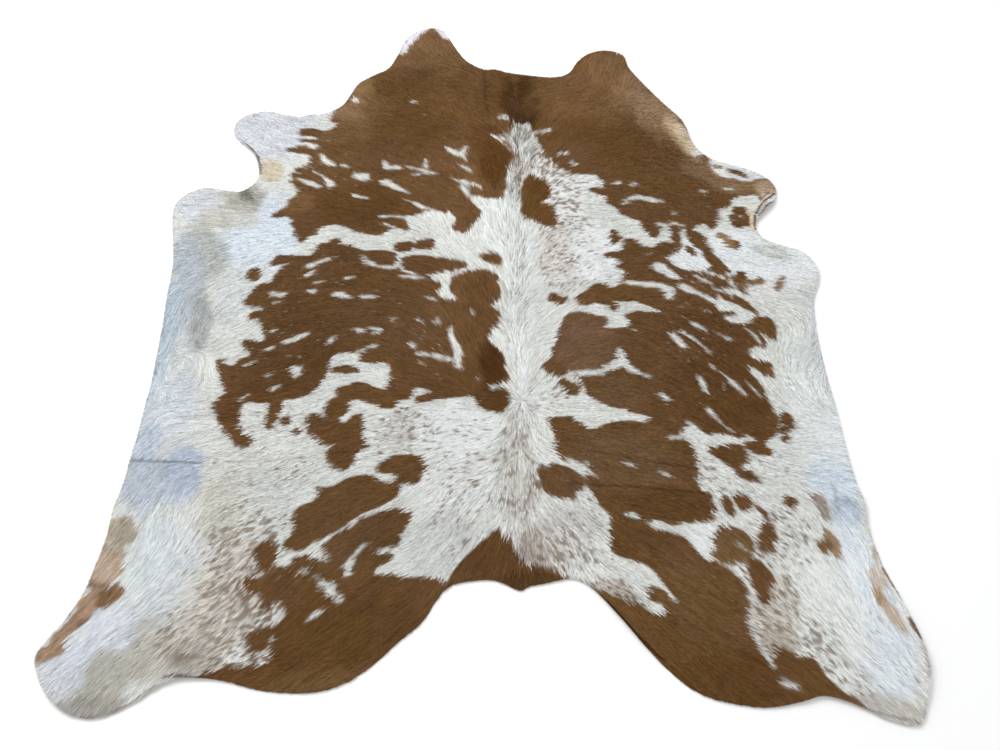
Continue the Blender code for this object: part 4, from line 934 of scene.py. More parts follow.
class HideMap:
    """What the pieces need to know about the hide: outline, height, markings and lie of the hair."""

    def __init__(self):
        low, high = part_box("hide")
        low, high = np.array(low[:2]) - CHART_MARGIN, np.array(high[:2]) + CHART_MARGIN
        self.chart = Chart(low, high, CHART_STEP)
        outline, tree = rim_outline(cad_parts["hide"])
        self.outline = rounded(outline, OUTLINE_CUTS)
        self.depth = depth_inside(self.chart, self.outline)
        self.rough = Chart(low, high, HEIGHT_STEP)
        self.height = self.read_height(tree)
        self.set_lie()
        self.set_markings()

    def read_height(self, tree):
        """Height of the solid's upper side, carried on past its edge, with the fine creases."""
        chart = self.rough
        inside = self.chart.read(self.depth, chart.x, chart.y) > HEIGHT_INSET
        top = np.zeros(chart.x.shape)
        for row, col in zip(*np.nonzero(inside)):
            above = Vector((chart.x[row, col], chart.y[row, col], 1.0))
            hit = tree.ray_cast(above, Vector((0, 0, -1)))[0]
            if hit is None:
                inside[row, col] = False
            else:
                top[row, col] = hit.z
        top = softened(grown(top, inside, HEIGHT_ROUNDS), 1)
        for crease in CREASES:
            deep, wide, _ = crease[4:]
            part, strength = crease_strength(chart, crease, wide / 100)
            top[part] -= deep / 1000 * strength
        top += waves(chart, SKIN_WAVES)
        return top

    def set_lie(self):
        """Heading of the hair, from the table's samples."""
        rough = Chart(self.chart.low, (self.chart.xs[-1], self.chart.ys[-1]), LIE_STEP)
        x, y, heading = np.array(LIE, float).T
        x, y = placed(x, y)
        heading = np.radians(heading)
        share = ((rough.x[..., None] - x) ** 2 + (rough.y[..., None] - y) ** 2 + LIE_NEAR) ** LIE_FALL
        along_x = self.chart_values(rough, (share * np.cos(heading)).sum(-1) / share.sum(-1))
        along_y = self.chart_values(rough, (share * np.sin(heading)).sum(-1) / share.sum(-1))
        turn = np.arctan2(along_y, along_x) + waves(self.chart, LIE_WAVES)
        self.along_x, self.along_y = np.cos(turn).astype(np.float32), np.sin(turn).astype(np.float32)

    def chart_values(self, rough, values):
        """A rough chart's values at each point of the fine one."""
        return rough.read(values, self.chart.x, self.chart.y)

    def set_markings(self):
        """Streaks and flecks, the brown fields' depth, tones, zones, edge lines with painted edge shadows,
        and painted shade at the edge and in the creases.
        """
        chart = self.chart
        lumps = chart.cloud(LUMP_WIDTH, 31)
        grain = np.random.default_rng(32).standard_normal(chart.x.shape).astype(np.float32)
        self.streak = combed(chart, grain, self.along_x, self.along_y, STREAK_LENGTH)
        coarse = (FLECK_GRAIN * grain + chart.cloud(FLECK_WIDTH, 33)).astype(np.float32)
        self.fleck = combed(chart, coarse, self.along_x, self.along_y, FLECK_LENGTH)
        brown = self.typed_brown()
        self.near_brown = smoothstep(*NEAR_BROWN, brown)
        brown += waves(chart, EDGE_WAVES)
        self.brown = brown + STREAKED * self.streak
        self.brown_tone = painted(chart, lumps, BROWN_BASE, BROWN_TONES)
        self.brown_tone *= waves(chart, TONE_WAVES, 1)[..., None]
        self.brown_tone[..., 2] *= waves(chart, BLUE_WAVES, 1)
        self.white_tone = painted(chart, lumps, WHITE_BASE, WHITE_TONES)
        self.ticking = self.mixed_in(TICKING, lumps)
        self.frost = self.mixed_in(FROST, lumps)
        self.longer = self.mixed_in(LONGER, lumps)
        self.set_edge_marks_and_shadows()
        # painted shade: the hair darkens towards the cut edge and, below, in each crease
        self.shade = 1 - RIM_DARK * smoothstep(RIM_WIDTH, 0.0, self.depth)
        # painted shade in each crease, on top of its real trough
        for crease in CREASES:
            _, wide, dark = crease[4:]
            part, strength = crease_strength(chart, crease, CREASE_SHADE * wide / 100)
            self.shade[part] *= 1 - dark * strength

    def typed_brown(self):
        """How deep in the brown each place lies, negative in the white, from the tables."""
        chart = self.chart
        brown = np.full(chart.x.shape, -REACH)
        for corners in PATCHES.values():
            x, y = placed(*np.array(corners, float).T)
            curve = rounded(np.stack([x, y], 1), PATCH_CUTS)
            brown = np.maximum(brown, depth_inside(chart, curve))
        for marks, sign in ((WHITE_MARKS, -1), (BROWN_MARKS, 1)):
            for rows in marks:
                stroke, part = table_stroke(chart, rows)
                mark = np.clip(stroke_depth(chart, part, stroke), -REACH, REACH)
                if sign > 0:
                    brown[part] = np.maximum(brown[part], mark + MARK_SPREAD)
                else:
                    brown[part] = np.minimum(brown[part], -MARK_FEATHER * (mark - MARK_DRAW_IN))
        return brown

    def set_edge_marks_and_shadows(self):
        """Colour and strength of the narrow lines along the edge: the hide's own lips and marks, and painted
        shadows where the edge lifts.
        """
        chart = self.chart
        self.edge_mark_and_shadow = np.zeros(chart.x.shape)
        self.edge_mark_and_shadow_tone = np.zeros((*chart.x.shape, 3))
        for rows, tone, strength in EDGE_MARKS_AND_SHADOWS:
            stroke, part = table_stroke(chart, rows, EDGE_MARKS_AND_SHADOWS_REACH)
            share = strength * smoothstep(*EDGE_MARKS_AND_SHADOWS_SOFT, stroke_depth(chart, part, stroke))
            self.edge_mark_and_shadow_tone[part] += (linear(*tone) - self.edge_mark_and_shadow_tone[part]) * share[..., None]
            self.edge_mark_and_shadow[part] += (1 - self.edge_mark_and_shadow[part]) * share

    def mixed_in(self, zones, lumps):
        """How much of something each place has: hairs of the other colour, or extra length."""
        amount = np.zeros(self.chart.x.shape)
        for *zone, share in zones:
            part, near = zone_share(self.chart, lumps, *zone)
            amount[part] = np.maximum(amount[part], share * near)
        return amount

    def top(self, x, y):
        """Height of skin and pressed hair."""
        return self.rough.read(self.height, x, y)

    def ground(self, x, y, skin):
        """Height of the skin's upper side, under the hair."""
        return self.top(x, y) - skin.hair_depth + skin.thickness

    def heading(self, spot, spread, rng):
        """The way the hair lies at some places, in radians, each lock a little off."""
        lie = np.arctan2(self.along_y[spot], self.along_x[spot])
        return lie + spread * rng.standard_normal(len(lie))

    def colour(self, x, y, rng):
        """Linear colour of a lock whose middle is here."""
        chart = self.chart
        spot = chart.spot(x, y)
        streak, fleck = self.streak[spot], self.fleck[spot]
        ticking, frost = self.ticking[spot], self.frost[spot]
        chance = rng.standard_normal((3, len(x)))
        slip = EDGE_SLIP[0] * streak + EDGE_SLIP[1] * chance[0]
        from_x, from_y = x - slip * self.along_x[spot], y - slip * self.along_y[spot]
        share = smoothstep(*EDGE_SOFT, chart.read(self.brown, from_x, from_y))[:, None]
        brown = self.brown_tone[spot] * (1 + BROWN_VARIED * streak + BROWN_VARIED * chance[1])[:, None]
        varied = WHITE_VARIED + TICKED_VARIED * ticking
        white = self.white_tone[spot] * (1 + varied * streak + varied * chance[2])[:, None]
        dark_hairs = smoothstep(0.0, 1.0, fleck - TICKING_FROM + TICKING_GAIN * ticking)
        ticked = TICKING_SHARE * dark_hairs * (ticking > NO_ZONE)
        grey, tan = linear(*TICK_GREY), linear(*TICK_BROWN)
        tick = grey + (tan - grey) * self.near_brown[spot][:, None]
        pale_hairs = smoothstep(0.0, 1.0, -fleck - FROST_FROM + FROST_GAIN * frost)
        frosted = FROST_SHARE * pale_hairs * (frost > NO_ZONE)
        brown += (white - brown) * frosted[:, None]
        white += (tick - white) * ticked[:, None]
        mixed = white + (brown - white) * share
        # edge lines laid over all: the hide's own lips and marks, and painted shadows where the edge lifts
        edge_mark_and_shadow = np.minimum(self.edge_mark_and_shadow[spot], 1)[:, None]
        mixed = mixed * (1 - edge_mark_and_shadow) + self.edge_mark_and_shadow_tone[spot] * (edge_mark_and_shadow > 0)
        # painted shade at the cut edge and in the creases
        mixed *= self.shade[spot][:, None]
        return np.clip(np.maximum(mixed - HAIR_GLINT, GLINT_LEAST * mixed), DARKEST, LIGHTEST)


@functools.lru_cache(maxsize=1)
def hide_map():
    """The one map of the hide that all the operators share."""
    return HideMap()


# ---------------------------------------------------------------------------------------------
# Materials
# ---------------------------------------------------------------------------------------------

def new_material(name):
    """A material with a Principled shader, its tree and that shader."""
    material = bpy.data.materials.new(name)
    material.use_nodes = True
    tree = material.node_tree
    return material, tree, tree.nodes["Principled BSDF"]


def add_node(tree, kind, **values):
    """A node with its plain settings, and values for the sockets named after them."""
    node = tree.nodes.new(kind)
    for key, value in values.items():
        if hasattr(node, key):
            setattr(node, key, value)
        else:
            node.inputs[key.replace("_", " ")].default_value = value
    return node


def hair_material(name, roughness):
    """Hair whose colour lies on its own points, with a fine grain in gloss and relief."""
    material, tree, shader = new_material(name)
    link = tree.links.new
    colour = add_node(tree, "ShaderNodeAttribute", attribute_name="hair_colour")
    place = add_node(tree, "ShaderNodeTexCoord")
    grain = add_node(tree, "ShaderNodeTexNoise", Scale=900.0, Detail=2.0)
    patchy = add_node(tree, "ShaderNodeTexNoise", Scale=14.0, Detail=3.0)
    gloss = add_node(tree, "ShaderNodeMapRange")
    gloss.inputs["To Min"].default_value = roughness - 0.08
    gloss.inputs["To Max"].default_value = roughness + 0.10
    relief = add_node(tree, "ShaderNodeBump", Strength=0.25, Distance=0.0004)
    link(place.outputs["Object"], grain.inputs["Vector"])
    link(place.outputs["Object"], patchy.inputs["Vector"])
    link(colour.outputs["Color"], shader.inputs["Base Color"])
    link(patchy.outputs["Fac"], gloss.inputs["Value"])
    link(gloss.outputs["Result"], shader.inputs["Roughness"])
    link(grain.outputs["Fac"], relief.inputs["Height"])
    link(relief.outputs["Normal"], shader.inputs["Normal"])
    shader.inputs["Specular IOR Level"].default_value = 0.15
    shader.inputs["Specular Tint"].default_value = (1.0, 0.80, 0.55, 1)
    return material


def ground_material():
    """The close under-hair on the skin, seen between the locks, darkened by a fine noise as painted shade in
    the gaps.
    """
    material, tree, shader = new_material("under hair")
    link = tree.links.new
    colour = add_node(tree, "ShaderNodeAttribute", attribute_name="hair_colour")
    place = add_node(tree, "ShaderNodeTexCoord")
    grain = add_node(tree, "ShaderNodeTexNoise", Scale=600.0, Detail=3.0)
    # painted shade in the gaps: the under-hair keeps 0.55 to 1 of the coat's colour
    dark = add_node(tree, "ShaderNodeMapRange")
    dark.inputs["To Min"].default_value = 0.55
    dark.inputs["To Max"].default_value = 1.0
    tint = add_node(tree, "ShaderNodeVectorMath", operation="SCALE")
    relief = add_node(tree, "ShaderNodeBump", Strength=0.6, Distance=0.0008)
    link(place.outputs["Object"], grain.inputs["Vector"])
    link(grain.outputs["Fac"], dark.inputs["Value"])
    link(colour.outputs["Color"], tint.inputs[0])
    link(dark.outputs["Result"], tint.inputs["Scale"])
    link(tint.outputs["Vector"], shader.inputs["Base Color"])
    link(grain.outputs["Fac"], relief.inputs["Height"])
    link(relief.outputs["Normal"], shader.inputs["Normal"])
    shader.inputs["Roughness"].default_value = 0.7
    return material


def leather_material(name, colour, scale, depth):
    """Napped or cut leather: a base colour with cloudy and fine variation and a fibrous relief."""
    material, tree, shader = new_material(name)
    link = tree.links.new
    place = add_node(tree, "ShaderNodeTexCoord")
    cloud = add_node(tree, "ShaderNodeTexNoise", Scale=9.0, Detail=6.0, Roughness=0.6)
    fibre = add_node(tree, "ShaderNodeTexNoise", Scale=scale, Detail=5.0, Roughness=0.7)
    ramp = add_node(tree, "ShaderNodeValToRGB")
    ramp.color_ramp.elements[0].position = 0.30
    ramp.color_ramp.elements[1].position = 0.72
    ramp.color_ramp.elements[0].color = (*[0.74 * c for c in colour], 1)
    ramp.color_ramp.elements[1].color = (*[min(1.12 * c, 1) for c in colour], 1)
    mix = add_node(tree, "ShaderNodeMix", data_type="FLOAT")
    mix.inputs["Factor"].default_value = 0.45
    relief = add_node(tree, "ShaderNodeBump", Strength=0.5, Distance=depth)
    rough = add_node(tree, "ShaderNodeMapRange")
    rough.inputs["To Min"].default_value = 0.80
    rough.inputs["To Max"].default_value = 0.97
    for texture in (cloud, fibre):
        link(place.outputs["Object"], texture.inputs["Vector"])
    link(cloud.outputs["Fac"], mix.inputs["A"])
    link(fibre.outputs["Fac"], mix.inputs["B"])
    link(mix.outputs["Result"], ramp.inputs["Fac"])
    link(ramp.outputs["Color"], shader.inputs["Base Color"])
    link(fibre.outputs["Fac"], relief.inputs["Height"])
    link(relief.outputs["Normal"], shader.inputs["Normal"])
    link(fibre.outputs["Fac"], rough.inputs["Value"])
    link(rough.outputs["Result"], shader.inputs["Roughness"])
    shader.inputs["Specular IOR Level"].default_value = 0.25
    shader.inputs["Sheen Weight"].default_value = 0.15
    return material


# ---------------------------------------------------------------------------------------------
# Meshes
# ---------------------------------------------------------------------------------------------

def add_piece(name, mesh, materials):
    """A finished piece in the scene, riding on the hide."""
    piece = bpy.data.objects.new(name, mesh)
    bpy.context.scene.collection.objects.link(piece)
    for material in materials:
        mesh.materials.append(material)
    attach(piece, "root")
    return piece


def plan_map(mesh, x, y):
    """A UV map that is the piece's plan."""
    layer = mesh.uv_layers.new(name="OFBake")
    u = (x - x.min()) / np.ptp(x)
    v = (y - y.min()) / np.ptp(y)
    layer.uv.foreach_set("vector", np.stack([u, v], -1).astype(np.float32).ravel())


def hair_mesh(name, points, faces, colours):
    """A mesh of many locks: points and colours (lock, point, 3), and one lock's triangles."""
    locks, each = points.shape[:2]
    corners = (np.arange(locks)[:, None, None] * each + np.array(faces)).reshape(-1)
    mesh = bpy.data.meshes.new(name)
    mesh.vertices.add(locks * each)
    mesh.vertices.foreach_set("co", points.astype(np.float32).ravel())
    mesh.loops.add(len(corners))
    mesh.loops.foreach_set("vertex_index", corners.astype(np.int32))
    mesh.polygons.add(len(corners) // 3)
    mesh.polygons.foreach_set("loop_start", np.arange(0, len(corners), 3, dtype=np.int32))
    mesh.update(calc_edges=True)
    layer = mesh.color_attributes.new("hair_colour", "FLOAT_COLOR", "POINT")
    rgba = np.concatenate([colours, np.ones((locks, each, 1))], -1)
    layer.data.foreach_set("color", rgba.astype(np.float32).ravel())
    flat = points.reshape(-1, 3)[corners]
    plan_map(mesh, flat[:, 0], flat[:, 1])
    return mesh


def scattered(chart, spacing, rng):
    """One place in each square of an even net, moved about inside it."""
    xs = np.arange(chart.xs[0], chart.xs[-1], spacing)
    ys = np.arange(chart.ys[0], chart.ys[-1], spacing)
    x, y = np.meshgrid(xs, ys)
    shift = rng.uniform(-0.5, 0.5, (2, *x.shape)) * spacing
    return (x + shift[0]).ravel(), (y + shift[1]).ravel()


def clump_middle(chart, x, y, cell, rng):
    """The middle of the tuft that each place belongs to."""
    size = [int((len(axis) + 1) * chart.step / cell) + 2 for axis in (chart.ys, chart.xs)]
    shift = rng.uniform(0.15, 0.85, (2, *size))
    col = ((x - chart.low[0]) / cell).astype(int).clip(0, size[1] - 1)
    row = ((y - chart.low[1]) / cell).astype(int).clip(0, size[0] - 1)
    return (chart.low[0] + (col + shift[0, row, col]) * cell,
            chart.low[1] + (row + shift[1, row, col]) * cell)


UP_FACING = 0.5  # a face whose normal rises more than this looks up
HAIR_SIDE, SUEDE_SIDE, CUT_SIDE = range(3)  # the skin's material slots
THIN_FACE = 0.06  # faces smaller than this share of a cell are taken off the rim
NEAR_RIM = 0.0005  # a rim point further in than this is moved out to the outline


def skin_sheet(settings, hide):
    """The skin as one flat, closed sheet: a grid fitted to the outline and given its thickness."""
    low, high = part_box("hide")
    size = np.array(high[:2]) - np.array(low[:2])
    middle = (np.array(high[:2]) + np.array(low[:2])) / 2
    cells = np.ceil(size / settings.cell).astype(int) + 1
    bm = bmesh.new()
    bmesh.ops.create_grid(bm, x_segments=int(cells[0]), y_segments=int(cells[1]), size=0.5)
    bmesh.ops.scale(bm, vec=(*(cells * settings.cell), 1), verts=bm.verts)
    bmesh.ops.translate(bm, vec=(*middle, 0), verts=bm.verts)
    fit_to_outline(bm, settings.cell, hide)
    bmesh.ops.solidify(bm, geom=bm.faces[:], thickness=settings.thickness)
    bmesh.ops.recalc_face_normals(bm, faces=bm.faces)
    for face in bm.faces:
        if abs(face.normal.z) <= UP_FACING:
            face.material_index = CUT_SIDE
        else:
            face.material_index = HAIR_SIDE if face.normal.z > 0 else SUEDE_SIDE
    rims = ([HAIR_SIDE, CUT_SIDE], [SUEDE_SIDE, CUT_SIDE])
    rim = [edge for edge in bm.edges if sorted(face.material_index for face in edge.link_faces) in rims]
    bmesh.ops.bevel(bm, geom=rim, offset=settings.rim_round, segments=1, profile=0.5,
                    affect="EDGES", material=CUT_SIDE, clamp_overlap=True)
    return bm


def fit_to_outline(bm, cell, hide):
    """Cuts a flat grid to the outline and moves its outer points onto it."""
    chart = hide.chart
    slope_y, slope_x = np.gradient(hide.depth, chart.step)

    def read(verts):
        x, y = np.array([v.co[:2] for v in verts]).T
        return x, y, chart.read(hide.depth, x, y)

    def snap(verts):
        for _ in range(4):
            x, y, depth = read(verts)
            gx, gy = chart.read(slope_x, x, y), chart.read(slope_y, x, y)
            scale = depth / np.maximum(gx * gx + gy * gy, 0.25)
            for vert, dx, dy in zip(verts, gx * scale, gy * scale):
                vert.co.x -= dx
                vert.co.y -= dy

    depth = read(bm.verts)[2]
    outside = [v for v, d in zip(bm.verts, depth) if d < -0.5 * cell]
    bmesh.ops.delete(bm, geom=outside, context="VERTS")
    depth = read(bm.verts)[2]
    snap([v for v, d in zip(bm.verts, depth) if abs(d) <= 0.5 * cell])
    edge = [v for v in bm.verts if v.is_boundary]
    depth = read(edge)[2]
    snap([v for v, d in zip(edge, depth) if d > NEAR_RIM])
    thin = [face for face in bm.faces if face.calc_area() < THIN_FACE * cell * cell]
    bmesh.ops.delete(bm, geom=thin, context="FACES")
    stray = [v for v in bm.verts if not v.link_faces]
    bmesh.ops.delete(bm, geom=stray, context="VERTS")
    near = [v for v in bm.verts
            if not v.is_boundary and any(e.other_vert(v).is_boundary for e in v.link_edges)]
    for _ in range(2):
        bmesh.ops.smooth_vert(bm, verts=near, factor=0.5, use_axis_x=True, use_axis_y=True)


class HIDE_OT_skin(bpy.types.Operator):
    """Build the tanned skin as one closed sheet"""
    bl_idname = "hide.skin"
    bl_label = "Tanned Skin"

    def execute(self, context):
        settings = context.scene.hide_skin
        hide = hide_map()
        bm = skin_sheet(settings, hide)
        mesh = bpy.data.meshes.new("skin")
        bm.to_mesh(mesh)
        bm.free()
        points = np.empty(len(mesh.vertices) * 3)
        mesh.vertices.foreach_get("co", points)
        points = points.reshape(-1, 3)
        x, y = points[:, 0], points[:, 1]
        base = np.maximum(hide.top(x, y) - settings.hair_depth, 0.0)
        points[:, 2] += base - points[:, 2].min()
        mesh.vertices.foreach_set("co", points.ravel())
        mesh.update()
        rng = np.random.default_rng(41)
        layer = mesh.color_attributes.new("hair_colour", "FLOAT_COLOR", "POINT")
        rgba = np.column_stack([hide.colour(x, y, rng), np.ones(len(x))])
        layer.data.foreach_set("color", rgba.astype(np.float32).ravel())
        piece = add_piece("skin", mesh, (
            ground_material(),
            leather_material("suede underside", settings.suede, 420.0, 0.0006),
            leather_material("cut leather edge", settings.cut_edge, 700.0, 0.0003),
        ))
        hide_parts("hide")
        return {"FINISHED"}


COAT_PIECES = ("coat_hindquarters", "coat_flanks", "coat_shoulders", "coat_neck")
LOCK = ((0, 1, 2),)
COAT_INSET = 0.0006  # roots keep this far from the cut edge
COAT_TURN = 0.16  # spread of the locks' headings, in radians
COAT_LENGTHS = (0.7, 1.25)  # least and most, as shares of the usual length
COAT_WIDTHS = (0.7, 1.3)
COAT_LIFTS = (0.3, 1.4)
COAT_TRIMMED = 0.6  # share of its length that a lock loses on one of the edge lines
COAT_CLUMP = 0.006  # width of a clump of short locks
COAT_PULL = 0.45  # how far tips are drawn to the clump's middle
COAT_SHORTEST = 0.2  # share of its length that a lock keeps at the cut edge
COAT_ROLL = 0.0005  # how far a lock's two root corners stand above and below each other
ROOT_LIFT = 0.0003
TINT_AT = 0.45  # a lock has the colour of the place this far along it
# Roots are darkened as painted shade under the locks and tips lightened as painted light on top.
ROOT_SHADE, TIP_LIGHT, TIP_LIGHTEST = 0.80, 1.12, 0.97


def coat_tips(settings, hide, x, y, rng):
    """Heading and tip of each short lock, cut back where it would reach too far past the edge."""
    chart = hide.chart
    root = np.stack([x, y], -1)
    spot = chart.spot(x, y)
    turn = hide.heading(spot, COAT_TURN, rng)
    along = np.stack([np.cos(turn), np.sin(turn)], -1)
    length = settings.length * (1 + hide.longer[spot]) * rng.uniform(*COAT_LENGTHS, len(x))
    length *= 1 - COAT_TRIMMED * hide.edge_mark_and_shadow[spot]
    middle = clump_middle(chart, x, y, COAT_CLUMP, rng)
    tip = root + along * length[:, None]
    tip += COAT_PULL * (np.stack(middle, -1) - root)
    root_depth = chart.read(hide.depth, x, y)
    tip_depth = chart.read(hide.depth, tip[:, 0], tip[:, 1])
    room = (root_depth + settings.overhang) / np.maximum(root_depth - tip_depth, 1e-6)
    cut = np.where(tip_depth < -settings.overhang, np.clip(room, COAT_SHORTEST, 1), 1.0)
    return along, root + (tip - root) * cut[:, None]


def coat_points(settings, skin, hide, x, y, along, tip, rng):
    """The three corners of each short lock: two at its root and one at its tip."""
    root = np.stack([x, y], -1)
    lift = settings.lift * rng.uniform(*COAT_LIFTS, len(x))
    ground = hide.ground(x, y, skin)
    half = 0.5 * settings.width * rng.uniform(*COAT_WIDTHS, len(x))
    across = np.stack([along[:, 1], -along[:, 0]], -1) * half[:, None]
    roll = COAT_ROLL * rng.standard_normal(len(x))
    points = np.empty((len(x), 3, 3))
    points[:, 0, :2] = root - across
    points[:, 1, :2] = root + across
    points[:, 2, :2] = tip
    points[:, 0, 2] = np.maximum(ground + ROOT_LIFT + roll, ground)
    points[:, 1, 2] = np.maximum(ground + ROOT_LIFT - roll, ground)
    points[:, 2, 2] = np.maximum(hide.ground(tip[:, 0], tip[:, 1], skin), 0) + lift
    return points


class HIDE_OT_coat(bpy.types.Operator):
    """Lay the short coat over the skin, in four bands from tail to neck"""
    bl_idname = "hide.coat"
    bl_label = "Short Coat"

    def execute(self, context):
        settings = context.scene.hide_coat
        hide = hide_map()
        rng = np.random.default_rng(51)
        x, y = scattered(hide.chart, settings.spacing, rng)
        keep = hide.chart.read(hide.depth, x, y) > COAT_INSET
        x, y = x[keep], y[keep]
        along, tip = coat_tips(settings, hide, x, y, rng)
        points = coat_points(settings, context.scene.hide_skin, hide, x, y, along, tip, rng)
        tint = hide.colour(x + TINT_AT * (tip[:, 0] - x), y + TINT_AT * (tip[:, 1] - y), rng)
        # painted shade at the roots, painted light at the tips
        shaded_root, lit_tip = ROOT_SHADE * tint, np.clip(TIP_LIGHT * tint, 0, TIP_LIGHTEST)
        colours = np.stack([shaded_root, shaded_root, lit_tip], 1)
        hair = hair_material("short hair", 0.50)
        order = np.argsort(y, kind="stable")
        for name, band in zip(COAT_PIECES, np.array_split(order, len(COAT_PIECES))):
            add_piece(name, hair_mesh(name, points[band], LOCK, colours[band]), (hair,))
        return {"FINISHED"}


LONG_LOCK = ((0, 1, 2), (1, 3, 2), (2, 3, 4), (3, 5, 4), (4, 5, 6))
LONG_LOCK_STEPS = ((0.0, 0.9), (0.38, 1.0), (0.74, 0.65), (1.0, 0.0))  # shares of length and width
CREST_LENGTHS = (0.6, 1.15)  # least and most, as shares of the table's
CREST_STANDS = (0.3, 1.1)
CREST_TURN = 0.09  # spread of the locks' headings, in radians
CREST_CURLS = (0.14, 0.35)  # how far a lock bends, by chance and by its neighbourhood, in radians
CREST_PULL = 0.75  # how far tips are drawn to the tuft's middle
CREST_LIFT = 0.001
CREST_ROLL = 0.0003
CREST_ARCH = (0.25, 1.1, 0.15)  # how a lock rises: evenly, as an arch, and towards its tip
CREST_ROOT_GREY_AND_SHADE = (0.55, 0.55, 0.82, 0.82, 1.0, 1.0, 1.08)  # brightness of a lock's points, root to tip: darker towards the root, partly grey roots of the hair and partly painted shade where the locks cover each other
BROWN_INSET = 0.012  # how deep in the brown a root may lie and still grow white hair
CREST_DARKER = (0.8, 0.45, 1.3)  # how much its tuft, chance and the ticking darken a lock
CREST_DARK_FROM = 1.15  # darker than this, a lock starts to turn dark
CREST_DARK_STEP = 0.6  # and this much further on it is as dark as it gets
CREST_DARK_SHARE = 0.85
CREST_BRIGHT = 0.97
CREST_VARIED = (0.14, 0.10, 0.11)  # how much tuft, streak and chance vary a lock's brightness
CREST_LIGHTEST = 0.95


def crest_places(settings, chart, rng):
    """Root of each long lock, its length, and how high it stands."""
    x, y = scattered(chart, settings.spacing, rng)
    rows = np.array(CREST, float)
    at_left, at_y = placed(rows[:, 1], rows[:, 0])
    at_right = placed(rows[:, 2], 0)[0]
    left, right = np.interp(y, at_y, at_left), np.interp(y, at_y, at_right)
    keep = (y > at_y[0]) & (y < at_y[-1]) & (x > left) & (x < right)
    keep &= rng.uniform(0, 1, len(x)) < np.interp(y, at_y, rows[:, 5])
    x, y = x[keep], y[keep]
    length = np.interp(y, at_y, rows[:, 3]) / 100 * rng.uniform(*CREST_LENGTHS, len(x))
    stand = np.interp(y, at_y, rows[:, 4]) / 100 * rng.uniform(*CREST_STANDS, len(x))
    return x, y, length, stand


def crest_points(settings, skin, hide, places, rng):
    """The seven points of each long lock, and the middle of the tuft that it belongs to."""
    x, y, length, stand = places
    count = len(x)
    spot = hide.chart.spot(x, y)
    turn = hide.heading(spot, CREST_TURN, rng)
    middle = clump_middle(hide.chart, x, y, settings.tuft, rng)
    pull = np.stack(middle, -1) - np.stack([x, y], -1)
    by_chance, by_place = CREST_CURLS
    curl = by_chance * rng.standard_normal(count) + by_place * hide.chart.cloud(0.02, 63)[spot]
    even, arch, tip = CREST_ARCH
    points = np.empty((count, 7, 3))
    here = np.stack([x, y], -1)
    last = 0.0
    for step, (share, wide) in enumerate(LONG_LOCK_STEPS):
        bend = turn + curl * share
        here = here + np.stack([np.cos(bend), np.sin(bend)], -1) * ((share - last) * length)[:, None]
        here = here + CREST_PULL * pull * (share - last)
        last = share
        across = np.stack([np.sin(bend), -np.cos(bend)], -1) * (0.5 * wide * settings.width)
        up = hide.ground(here[:, 0], here[:, 1], skin)
        up = up + CREST_LIFT + stand * (even * share + arch * share * (1 - share) + tip * share ** 2)
        sides = (-1, 1) if wide else (0,)
        for side, way in enumerate(sides):
            points[:, 2 * step + side, :2] = here + way * across
            points[:, 2 * step + side, 2] = up + way * CREST_ROLL * rng.standard_normal(count)
    return points, middle


def crest_colours(hide, x, y, middle, rng):
    """Linear colours of each long lock's points: white, darker in some tufts and towards the root (partly
    painted shade), brown on the brown.
    """
    chart, count = hide.chart, len(x)
    spot = chart.spot(x, y)
    tuft = chart.cloud(0.012, 62)[chart.spot(*middle)]
    is_brown = (chart.read(hide.brown, x, y) > BROWN_INSET * rng.uniform(0, 1, count))[:, None]
    by_tuft, by_chance, by_ticking = CREST_DARKER
    darkness = by_tuft * tuft + by_chance * rng.standard_normal(count) + by_ticking * hide.ticking[spot]
    dark = CREST_DARK_SHARE * smoothstep(0.0, CREST_DARK_STEP, darkness - CREST_DARK_FROM)
    white = np.maximum(hide.white_tone[spot], linear(*CREST_WHITE))
    white = white + (linear(*CREST_DARK) - white) * dark[:, None]
    tint = np.where(is_brown, hide.brown_tone[spot], white)
    by_tuft, by_streak, by_chance = CREST_VARIED
    varied = CREST_BRIGHT + by_tuft * tuft + by_streak * hide.streak[spot]
    tint = tint * (varied + by_chance * rng.standard_normal(count))[:, None]
    # darker towards the root: grey roots and painted shade
    return np.clip(tint[:, None, :] * np.array(CREST_ROOT_GREY_AND_SHADE)[None, :, None], 0, CREST_LIGHTEST)


class HIDE_OT_crest(bpy.types.Operator):
    """Lay the long, tufted hair along the spine"""
    bl_idname = "hide.crest"
    bl_label = "Spine Hair"

    def execute(self, context):
        settings = context.scene.hide_crest
        hide = hide_map()
        rng = np.random.default_rng(61)
        places = crest_places(settings, hide.chart, rng)
        points, middle = crest_points(settings, context.scene.hide_skin, hide, places, rng)
        colours = crest_colours(hide, *places[:2], middle, rng)
        mesh = hair_mesh("spine_hair", points, LONG_LOCK, colours)
        add_piece("spine_hair", mesh, (hair_material("long hair", 0.45),))
        return {"FINISHED"}


LAMP_PLACE = (-2.2, 2.0, 3.6)
LAMP_SIZE = 3.0
SKY_COLOUR = (0.985, 0.99, 1.0, 1)


